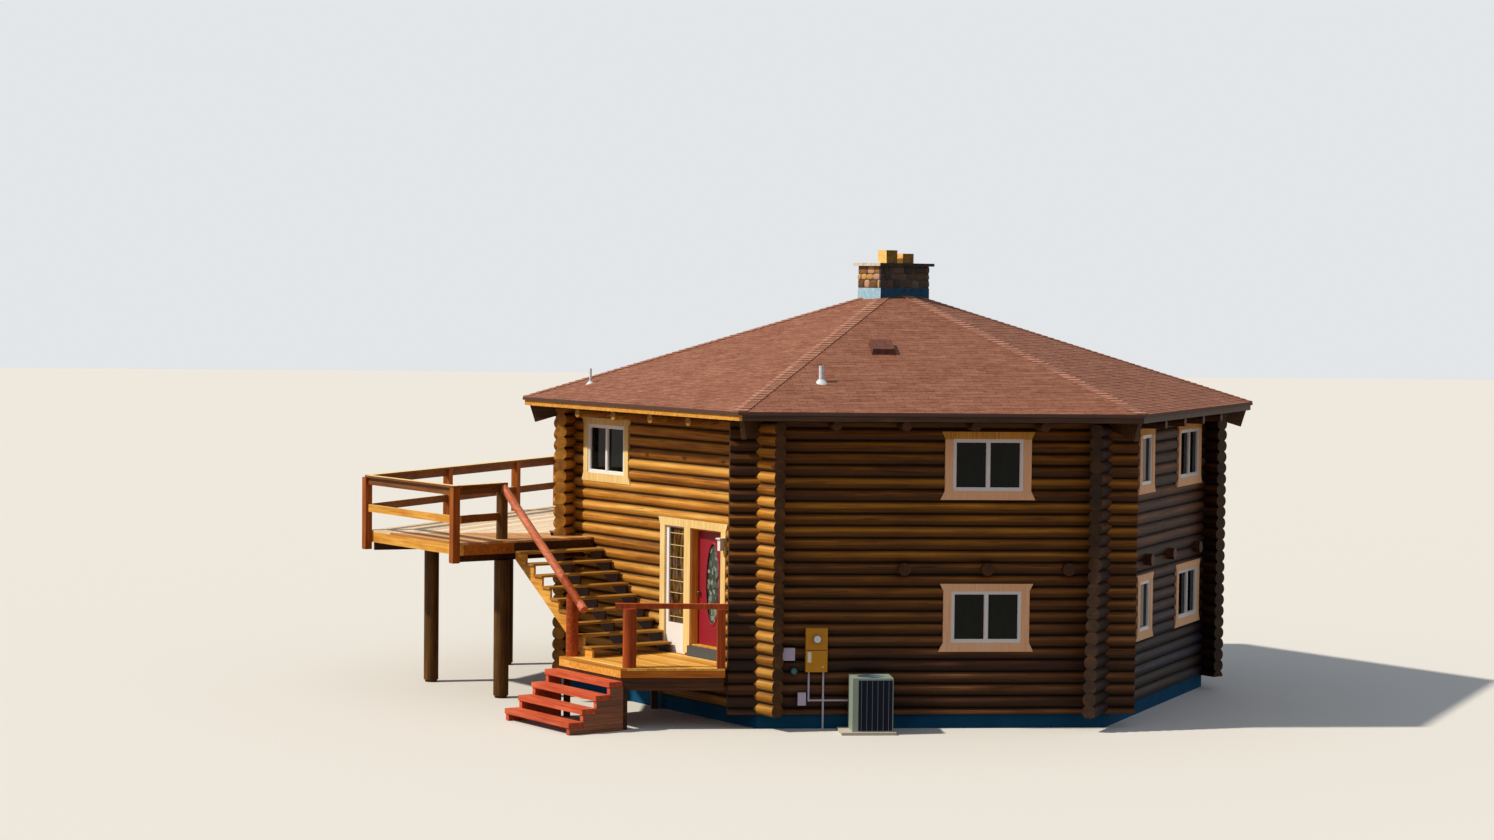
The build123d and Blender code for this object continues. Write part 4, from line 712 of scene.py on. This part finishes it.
def unit_stone():
    """Grid cube pressed on to the superellipsoid |x|^p + |y|^p + |z|^p = 1, with its seams shared."""
    spread = np.linspace(-1, 1, stone_steps)
    v, u = np.meshgrid(spread, spread, indexing="ij")
    first = (stone_steps * np.arange(stone_steps - 1)[:, None] + np.arange(stone_steps - 1)).reshape(-1, 1)
    ring = first + np.array([0, 1, stone_steps + 1, stone_steps])
    sheets = []
    quads = []
    for axis in range(3):
        for sign in (-1.0, 1.0):
            sheet = np.full((stone_steps, stone_steps, 3), sign)
            sheet[..., (axis + 1) % 3] = u
            sheet[..., (axis + 2) % 3] = v
            quads.append((ring if sign > 0 else ring[:, ::-1]) + stone_steps ** 2 * len(sheets))
            sheets.append(sheet.reshape(-1, 3))
    points, shared = np.unique(np.concatenate(sheets), axis=0, return_inverse=True)
    points = points / (np.abs(points) ** stone_power).sum(1, keepdims=True) ** (1 / stone_power)
    return points, shared.reshape(-1)[np.concatenate(quads)]


def veneer():
    """Stones in uneven rows round the four faces of the chimney. A row runs to the left seen from
    outside, which mirrors the stones, so their quads are turned round."""
    cube, quads = unit_stone()
    up = np.array(upward)
    long_way = np.array([cos(chimney_turn), sin(chimney_turn), 0.0])
    short_way = np.array([-sin(chimney_turn), cos(chimney_turn), 0.0])
    stones = []
    shades = []
    for along, outward, half_length, half_depth in (
            (long_way, short_way, *chimney_half), (short_way, -long_way, *chimney_half[::-1]),
            (-long_way, -short_way, *chimney_half), (-short_way, long_way, *chimney_half[::-1])):
        row_edges = np.linspace(chimney_stone_low, chimney_stone_high, stone_rows + 1)
        row_edges[1:-1] += rng.uniform(-0.02, 0.02, stone_rows - 1)
        for low, high in zip(row_edges[:-1], row_edges[1:]):
            place = -half_length - 0.01
            while place < half_length - 0.03:
                width = min(rng.uniform(*stone_widths), half_length + 0.02 - place)
                centre = along * (place + width / 2) + outward * (half_depth - 0.01)
                centre = centre + up * ((low + high) / 2 + rng.uniform(-0.004, 0.004))
                half = np.array((width / 2 - 0.003, (high - low) / 2 - 0.001, rng.uniform(*stone_swells)))
                half = half * (1 + 0.07 * rng.standard_normal(3))
                stones.append(centre + (cube * half) @ np.array([along, up, outward]))
                shades.append(rng.random())
                place += width
    faces = (quads[None, :, ::-1] + len(cube) * np.arange(len(stones))[:, None, None]).reshape(-1, 4)
    piece = mesh_piece("chimney_rubble", np.concatenate(stones), faces, stone_material(),
                       smooth=True)
    set_shades(piece, shades, len(cube))


veneer()

# Windows: a sash frame in each pane, set back in the vinyl
vinyl_width = 0.048
vinyl_front = 5.33
sash_rail = 0.014
sash_out = (vinyl_front - 0.045, vinyl_front - 0.012)
window_order = ("front", "front_left", "front_right", "back_right", "back", "back_left")


def sash_blocks():
    """Inner sash frames: two in a wide window, either side of its mullion, and one in a narrow one."""
    items = []
    for side, centre, width, sill in sorted(windows, key=lambda w: (window_order.index(w[0]), w[1])):
        left = centre - width / 2 + vinyl_width
        right = centre + width / 2 - vinyl_width
        panes = [(left, right)]
        if width == wide_window:
            panes = [(centre + vinyl_width / 2, right), (left, centre - vinyl_width / 2)]
        for pane in panes:
            up = (sill + vinyl_width, sill + window_height - vinyl_width)
            items += frame_blocks(side, pane, up, sash_rail, sash_out)
    return items


wall_blocks("window_sashes", sash_blocks(), white_vinyl)

# Entry: sidelight bars, moulded oval rim and leaded glass
sidelight = (0.329, 0.806)
sidelight_up = (1.59, 3.3)
sidelight_front = 5.27
sidelight_middle = plan_place("front_left", 0.567, sidelight_front)
lites = 8
half_bar = 0.006


def window_glass_material():
    """Clear float glass before an unlit room: near black with a slow ripple, and banded brown tones
    in the sidelight's glass."""
    material, node, shader = new_material("dark_glazing", 0.04, Specular_IOR_Level=0.12)
    place = own_place(node)
    waves = clouds(node, place, 2.2, 1.0)
    band_pattern = clouds(node, place, (16.0, 16.0, 3.0), 3.0)
    dark = [(0.3, "#070907"), (0.7, "#12170f")]
    sidelight_bands = [(0.35, "#1c1208"), (0.5, "#4a3214"), (0.65, "#7a5a2c")]
    colour = zoned(node, band_pattern, dark, [(sidelight_bands, ("near", sidelight_middle, 0.4), ("below", 3.35))])
    dress(node, shader, colour, waves, 0.004, 0.25)
    return material


def sidelight_bars():
    """Level glazing bars at equal steps up the sidelight."""
    low, high = sidelight_up
    middles = low + (high - low) * (np.arange(lites) + 0.5) / lites
    out = (sidelight_front, sidelight_front + 0.012)
    return [("front_left", sidelight, (up - half_bar, up + half_bar), out) for up in middles]


glazing = window_glass_material()
# Gilt metal strip: pale gold, smooth
cream_bars = plain("cream_bars", "#dcc08c", 0.4, 0.05, 20.0)
wall_blocks("sidelight_bars", sidelight_bars(), cream_bars)

door_centre = 1.524
oval_centre = 2.358
oval_half = (0.205, 0.713)
door_front = 5.175
rim_lap = 0.012
rim_half = 0.024
rim_rise = 0.012
rim_steps = (96, 12)


def oval_rim(material):
    """Moulded ring round the oval light: an ellipse, and about it a flat oval section whose reach is
    rim_half times a cosine and whose rise is rim_rise times a sine."""
    turns = [np.linspace(0, 2 * pi, steps, endpoint=False) for steps in rim_steps]
    around, across = np.meshgrid(*turns, indexing="ij")
    grow = rim_lap + rim_half * np.cos(across)
    points = np.stack([door_centre + (oval_half[0] + grow) * np.cos(around),
                       oval_centre + (oval_half[1] + grow) * np.sin(around),
                       door_front + rim_rise * np.sin(across)], -1).reshape(-1, 3)
    mesh_piece("oval_light_rim", on_wall("front_left", points), grid_faces(*rim_steps), material,
               leaf, True)


def leaded_material():
    """Bevelled glass in lead: cells about 60 mm across, each of one green tone, with dark came lines."""
    material, node, shader = new_material("leaded_glass", 0.12)
    turned = node("Mapping", own_place(node))
    place = node("Mapping", turned, Scale=(14.0, 14.0, 9.0))
    edge = node("TexVoronoi", place, 1.0, feature="DISTANCE_TO_EDGE")
    tone = node("TexVoronoi", place, 1.0, output="Color")
    glass = node("ValToRGB", tone, stops=[(0.1, "#18261e"), (0.5, "#3a4a40"), (0.9, "#8c9c8a")])
    came = node("Math", "LESS_THAN", edge, 0.05)
    dress(node, shader, mix(node, came, glass, linear("#2b2a28")), edge, 0.004)
    return material


# Satin enamel on a pressed door: brick crimson, nearly even
crimson = plain("crimson_paint", "#8f1d2a", 0.4, 0.06, 12.0, Specular_IOR_Level=0.3)
oval_rim(crimson)

# Deck door: tall light between mouldings, with a panel under it
deck_leaf_face = 5.25
deck_light_along = (1.06, 1.66)
deck_light_up = (3.66, 4.84)
deck_panel_up = (3.09, 3.52)
deck_moulding = 0.04
deck_sunk = deck_leaf_face - 0.002
deck_moulding_front = deck_leaf_face + 0.016
deck_light_front = deck_leaf_face + 0.004
mouldings = []
for moulding_up in (deck_light_up, deck_panel_up):
    mouldings += frame_blocks("back_left", deck_light_along, moulding_up, deck_moulding,
                              (deck_sunk, deck_moulding_front))
wall_blocks("deck_door_mouldings", mouldings, white_vinyl)
wall_blocks("deck_door_light", [
    ("back_left", (deck_light_along[0] + deck_moulding, deck_light_along[1] - deck_moulding),
     (deck_light_up[0] + deck_moulding, deck_light_up[1] - deck_moulding),
     (deck_sunk, deck_light_front)),
], glazing)

# Lower steps: stacked planks on the side that faces away from the stair
step_rise = 0.212
step_going = 0.27
step_depth = 0.094
plank_along = (2.0395, 2.049)
plank_back = 7.384
plank_gap = 0.002
plank_setback = 0.022


def step_planks():
    """Two thin boards over the outer stringer under each tread, cut back to its riser."""
    items = []
    for index in range(1, 5):
        top = landing_top - step_rise * index - step_depth
        front = landing_reach + step_going * index - plank_setback
        low = max(top - step_rise + 2 * plank_gap, 2 * plank_gap)
        rows = np.linspace(low, top, 3)
        for bottom, upper in zip(rows[:-1], rows[1:]):
            items.append(("front_left", plank_along, (bottom + plank_gap, upper - plank_gap),
                          (plank_back, front)))
    return items


wall_blocks("step_side_planks", step_planks(), board_wood("stacked_side_planks", plank_stops))

# Condenser: plain sunny side, dark coil guards with thin ribs on the others, and rings over the fan
box_low, box_high = (np.array(corner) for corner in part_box("condenser"))
rib_pitch = 0.094
rib_width = 0.006
wide_post = 0.1
narrow_post = 0.018
guard_foot = 0.02
guard_head = 0.035
case_sunk = 0.004
guard_proud = 0.006
rib_proud = 0.014


def case_side(axis, end, span, up, depth):
    """Corners of a block on one side of the case: depth is its reach out from the face."""
    face = (box_low, box_high)[end][axis]
    sign = 1 if end else -1
    spans = [None, None]
    spans[axis] = sorted((face - sign * case_sunk, face + sign * depth))
    spans[1 - axis] = span
    (x0, x1), (y0, y1) = spans
    ring = [(x0, y0), (x1, y0), (x1, y1), (x0, y1)]
    return [(x, y, up[0]) for x, y in ring] + [(x, y, up[1]) for x, y in ring]


def condenser_sides():
    """Coil guards between the corner posts and under the lid, and their upright ribs at one pitch."""
    panels = []
    ribs = []
    up = (box_low[2] + guard_foot, box_high[2] - guard_head)
    for axis, end in ((0, 1), (1, 0), (1, 1)):
        low = box_low[1 - axis] + wide_post
        high = box_high[1 - axis] - narrow_post
        panels.append(case_side(axis, end, (low, high), up, guard_proud))
        for place in np.arange(low + rib_pitch / 2, high - rib_width, rib_pitch):
            ribs.append(case_side(axis, end, (place, place + rib_width), up, rib_proud))
    return panels, ribs


guard_radii = np.linspace(0.04, 0.235, 8)
guard_steps = 48
guard_depth = 0.008
half_wire = 0.003


def fan_guard(material):
    """Rings of wire over the fan: circles of even steps of radius, each swept with a square section."""
    centre = (box_low + box_high) / 2
    section = half_wire * np.array(((-1, -1), (1, -1), (1, 1), (-1, 1)))
    turn = np.linspace(0, 2 * pi, guard_steps, endpoint=False)[:, None]
    reach = guard_radii[:, None, None] + section[:, 0]
    height = box_high[2] - guard_depth + section[:, 1]
    places = np.broadcast_arrays(centre[0] + reach * np.cos(turn), centre[1] + reach * np.sin(turn), height)
    ring_start = 4 * guard_steps * np.arange(len(guard_radii))[:, None, None]
    faces = (grid_faces(guard_steps, 4) + ring_start).reshape(-1, 4)
    mesh_piece("fan_guard", np.stack(places, -1).reshape(-1, 3), faces, material)


# Baked enamel on pressed steel: navy behind the guards, steel blue on their wire
coil_dark = plain("coil_guard_enamel", "#0b101c", 0.6, 0.1, 30.0, Specular_IOR_Level=0.12)
rib_paint = plain("rib_enamel", "#5c6c82", 0.5, 0.05, 8.0, Specular_IOR_Level=0.2)
guard_panels, guard_ribs = condenser_sides()
blocks_piece("condenser_guards", guard_panels, coil_dark)
blocks_piece("condenser_ribs", guard_ribs, rib_paint)
fan_guard(rib_paint)

# Meter and gas regulator on the front wall
disc_steps = 40
flat_share = 0.8


def disc(name, place, radius, out, edge, material):
    """Round disc on the front wall at (along, up): a circle at its back, one where its edge starts, and
    a smaller one round its flat front, closed by a point in the middle at both ends."""
    turn = np.linspace(0, 2 * pi, disc_steps, endpoint=False)
    rings = np.array([(radius, out[0]), (radius, out[1] - edge), (radius * flat_share, out[1])])
    reach = rings[:, :1]
    shell = np.broadcast_arrays(
        place[0] + reach * np.cos(turn), place[1] + reach * np.sin(turn), rings[:, 1:])
    points = np.vstack([[(*place, out[0])], np.stack(shell, -1).reshape(-1, 3), [(*place, out[1])]])
    first = 1 + np.arange(disc_steps)
    following = np.roll(first, -1)
    last = len(points) - 1
    faces = np.stack([0 * first, following, first], 1).tolist()
    for start in (0, disc_steps):
        band = np.stack([first, following, following + disc_steps, first + disc_steps], 1)
        faces += (band + start).tolist()
    faces += np.stack([first + 2 * disc_steps, following + 2 * disc_steps, 0 * first + last], 1).tolist()
    return mesh_piece(name, on_wall("front", points), faces, material)


meter_low, meter_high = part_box("meter_box")
meter_front = -meter_low[1]
meter_body = meter_front - 0.075
meter_sunk = meter_body - 0.002
meter_joint = (meter_low[2] + meter_high[2]) / 2
dial_place = (-2.045, 1.578)
# Meter cover as a brown ring, painted shadow round the dial, and a blank dial of white-painted metal
disc("meter_dial_shadow_ring", dial_place, 0.078, (meter_front - 0.002, meter_front + 0.012), 0.006,
     plain("dial_ring_painted_shadow", "#6e5836", 0.2, 0.1, 40.0))
disc("meter_dial", dial_place, 0.062, (meter_front + 0.006, meter_front + 0.016), 0.004,
     plain("dial_metal", "#f0f1f3", 0.4))
# Cast regulator under teal enamel
disc("gas_regulator", (-2.43, 1.008), 0.056, (5.375, 5.418), 0.01,
     plain("teal_enamel", "#1f6f78", 0.45))
# Blank plates of pale enamel, and the dark line of the cover's joint
wall_blocks("meter_plates", [
    ("front", (-2.205, -2.14), (1.17, 1.35), (meter_sunk, meter_body + 0.006)),
    ("front", (-1.95, -1.93), (1.08, 1.11), (meter_sunk, meter_body + 0.014)),
], plain("plate_enamel", "#f6ead6", 0.4))
wall_blocks("meter_cover_joint", [
    ("front", (meter_low[0] + 0.012, meter_high[0] - 0.012), (meter_joint - 0.006, meter_joint + 0.006),
     (meter_sunk, meter_body + 0.003)),
], plain("joint_shadow_enamel", "#5c2c08", 0.7))

# Finishes of the CAD nodes
box_vent_place = (-0.655, -3.165)
# Cast concrete: pale grey-brown, matt, with small pits
concrete = plain("cast_concrete", "#bdb5a4", 0.85, 0.12, 14.0, 0.003)
node_looks = {
    # Masonry paint on cast concrete: teal-navy, chalky, worn in patches
    "foundation": plain("teal_painted_concrete", "#134c6c", 0.85, 0.4, 2.2, 0.004, Specular_IOR_Level=0.1),
    "condenser_pad": concrete,
    # Dark-stained timber of floors and eaves
    "floor_beams": timber("beam_ends", brown_stops),
    "inner_floors": laid_boards("planks", tread_stops, left_turn, plank_width),
    "wall_plates": timber("plate_timber", brown_stops),
    "soffit": timber("soffit_boards", brown_stops),
    "fascia": fascia_look,
    "hip_beams": hip_look,
    "rafter_tails": tail_look,
    # Felt under the shingles: dark brown and dull
    "roof": plain("roof_underlay", "#4a3128", 0.9),
    # Limewashed brick, raked mortar, cast cap and unglazed clay, all darker on the shaded side
    "chimney_base": matt_finish("blue_painted_base", "#86adc0 #a9c8d6", "#16344c #28506c",
                                 ("facing", chimney_shaded)),
    "chimney_stone": plain("mortar", "#463a2e", 0.9, 0.15, 60.0, 0.003),
    "chimney_cap": matt_finish("cast_cap", "#b4ab9a #d8d0c0", "#1e1c1c #3c3634", ("facing", chimney_shaded)),
    "chimney_flues": matt_finish("clay_flues", "#d2a04a #f0c478", "#4a380f #7a5c24",
                                  ("facing", chimney_shaded)),
    # Painted sheet metal: white pipes, and a brown box vent
    "roof_vents": matt_finish("painted_vents", "#b9bfc2 #d9dddf", "#4a2c24 #6a4034",
                               ("near", box_vent_place, 0.5)),
    "window_frames": white_vinyl,
    "window_glass": glazing,
    "window_casings": casing_look,
    "entry_casing": entry_casing_look,
    "entry_frame": entry_frame_look,
    "entry_door": crimson,
    "door_glass": leaded_material(),
    # Cast brass, aged: brown-gold, half glossy
    "door_handle": plain("aged_brass", "#7d6030", 0.35, Metallic=0.9),
    # Floor paint on a sawn sill: slate grey, scuffed
    "door_step": plain("dark_step_paint", "#464a4c", 0.6, 0.1, 20.0),
    "deck_door": deck_door_look,
    # Baked white enamel: smooth with a soft highlight
    "porch_lantern": plain("white_enamel", "#e9e6dc", 0.35),
    "deck_posts": log_post_look,
    "deck_beams": brown_beams,
    "deck_frame": rim_look,
    "deck_boards": deck_floor,
    "rail_posts": post_look,
    "deck_rails": rail_look,
    "stair_stringers": stringer_look,
    "stair_treads": tread_look,
    "handrail": handrail_look,
    "landing_frame": landing_frame_look,
    "landing_boards": landing_floor,
    "landing_rail": landing_rail_look,
    "lower_steps": step_look,
    # Enamelled sheet steel: mustard, lavender-grey and sage, faintly uneven
    "meter_box": plain("mustard_enamel", "#d0921e", 0.5, 0.1, 9.0, Specular_IOR_Level=0.25),
    "service_boxes": plain("grey_enamel", "#cfc8dc", 0.5, 0.1, 12.0, Specular_IOR_Level=0.25),
    "condenser": plain("sage_enamel", "#8c9a8a", 0.5, 0.06, 10.0, Specular_IOR_Level=0.25),
}
for side, looks in wall_looks.items():
    node_looks["wall_" + side] = log_material("logs_stain_and_shade_" + side, side, *looks)
for name, look in node_looks.items():
    nodes[name].data.materials.clear()
    nodes[name].data.materials.append(look)


# Stage: pale floor and backdrop to the eye, a soft key from the left and a dimmer pale sky
def seen_directly(node):
    """1 for rays of the camera and of gloss and glass, 0 for the light that falls on the house."""
    seen = node("LightPath", output="Is Camera Ray")
    for other in ("Is Glossy Ray", "Is Transmission Ray"):
        seen = node("Math", "MAXIMUM", seen, node("LightPath", output=other))
    return seen


def floor_material():
    """Pale floor to the eye, which throws back as little light as the gravel about such a house."""
    material, node, shader = new_material("pale_floor", 0.9, Specular_IOR_Level=0.1)
    colour = mix(node, seen_directly(node), linear("#836c5e"), linear("#d8d4cc"))
    dress(node, shader, colour)
    return material


half_floor = 200.0
floor_mesh = bpy.data.meshes.new("floor")
floor_mesh.from_pydata([(-half_floor, -half_floor, 0), (half_floor, -half_floor, 0),
                        (half_floor, half_floor, 0), (-half_floor, half_floor, 0)], [], [(0, 1, 2, 3)])
floor_mesh.materials.append(floor_material())
put("floor", floor_mesh)

world = bpy.data.worlds.new("studio")
world.use_nodes = True
world_node = partial(add, world.node_tree)
sky = world.node_tree.nodes["Background"]
sky.inputs["Color"].default_value = linear("#d6e0f0")
sky.inputs["Strength"].default_value = 0.5
backdrop = world_node("Background", linear("#e3e6e8"), 1.0)
surface = world_node("MixShader", seen_directly(world_node), sky.outputs[0], backdrop)
world.node_tree.links.new(surface, world.node_tree.nodes["World Output"].inputs["Surface"])
bpy.context.scene.world = world

key_data = bpy.data.lights.new("key", "SUN")
key_data.energy = 4.0
key_data.angle = radians(2.0)
key_data.color = (1.0, 0.93, 0.82)
key = put("key", key_data)
key_height = radians(46.0)
key_azimuth = radians(188.0)
key_from = Vector((cos(key_height) * cos(key_azimuth), cos(key_height) * sin(key_azimuth), sin(key_height)))
key.rotation_euler = key_from.to_track_quat("Z", "Y").to_euler()

# Camera at the photograph's place, in metres and radians, with its focal length in the picture's pixels
focal = 2979.0
picture_width = 1494.0
camera_place = Vector((-8.1875, -56.1077, 7.638))
yaw = 0.0963
pitch = 0.0452
roll = 0.011
forward = Vector((sin(yaw) * cos(pitch), cos(yaw) * cos(pitch), -sin(pitch)))
level_right = Vector((cos(yaw), -sin(yaw), 0.0))
level_up = level_right.cross(forward)
camera_right = level_right * cos(roll) + level_up * sin(roll)
camera_up = level_up * cos(roll) - level_right * sin(roll)
camera_data = bpy.data.cameras.new("camera")
camera_data.sensor_width = 36.0
camera_data.lens = focal / picture_width * camera_data.sensor_width
camera_data.clip_end = 1000.0
camera = put("camera", camera_data)
turn = Matrix((camera_right, camera_up, -forward)).transposed().to_4x4()
camera.matrix_world = Matrix.Translation(camera_place) @ turn
bpy.context.scene.camera = camera
bpy.context.scene.view_settings.view_transform = "Standard"
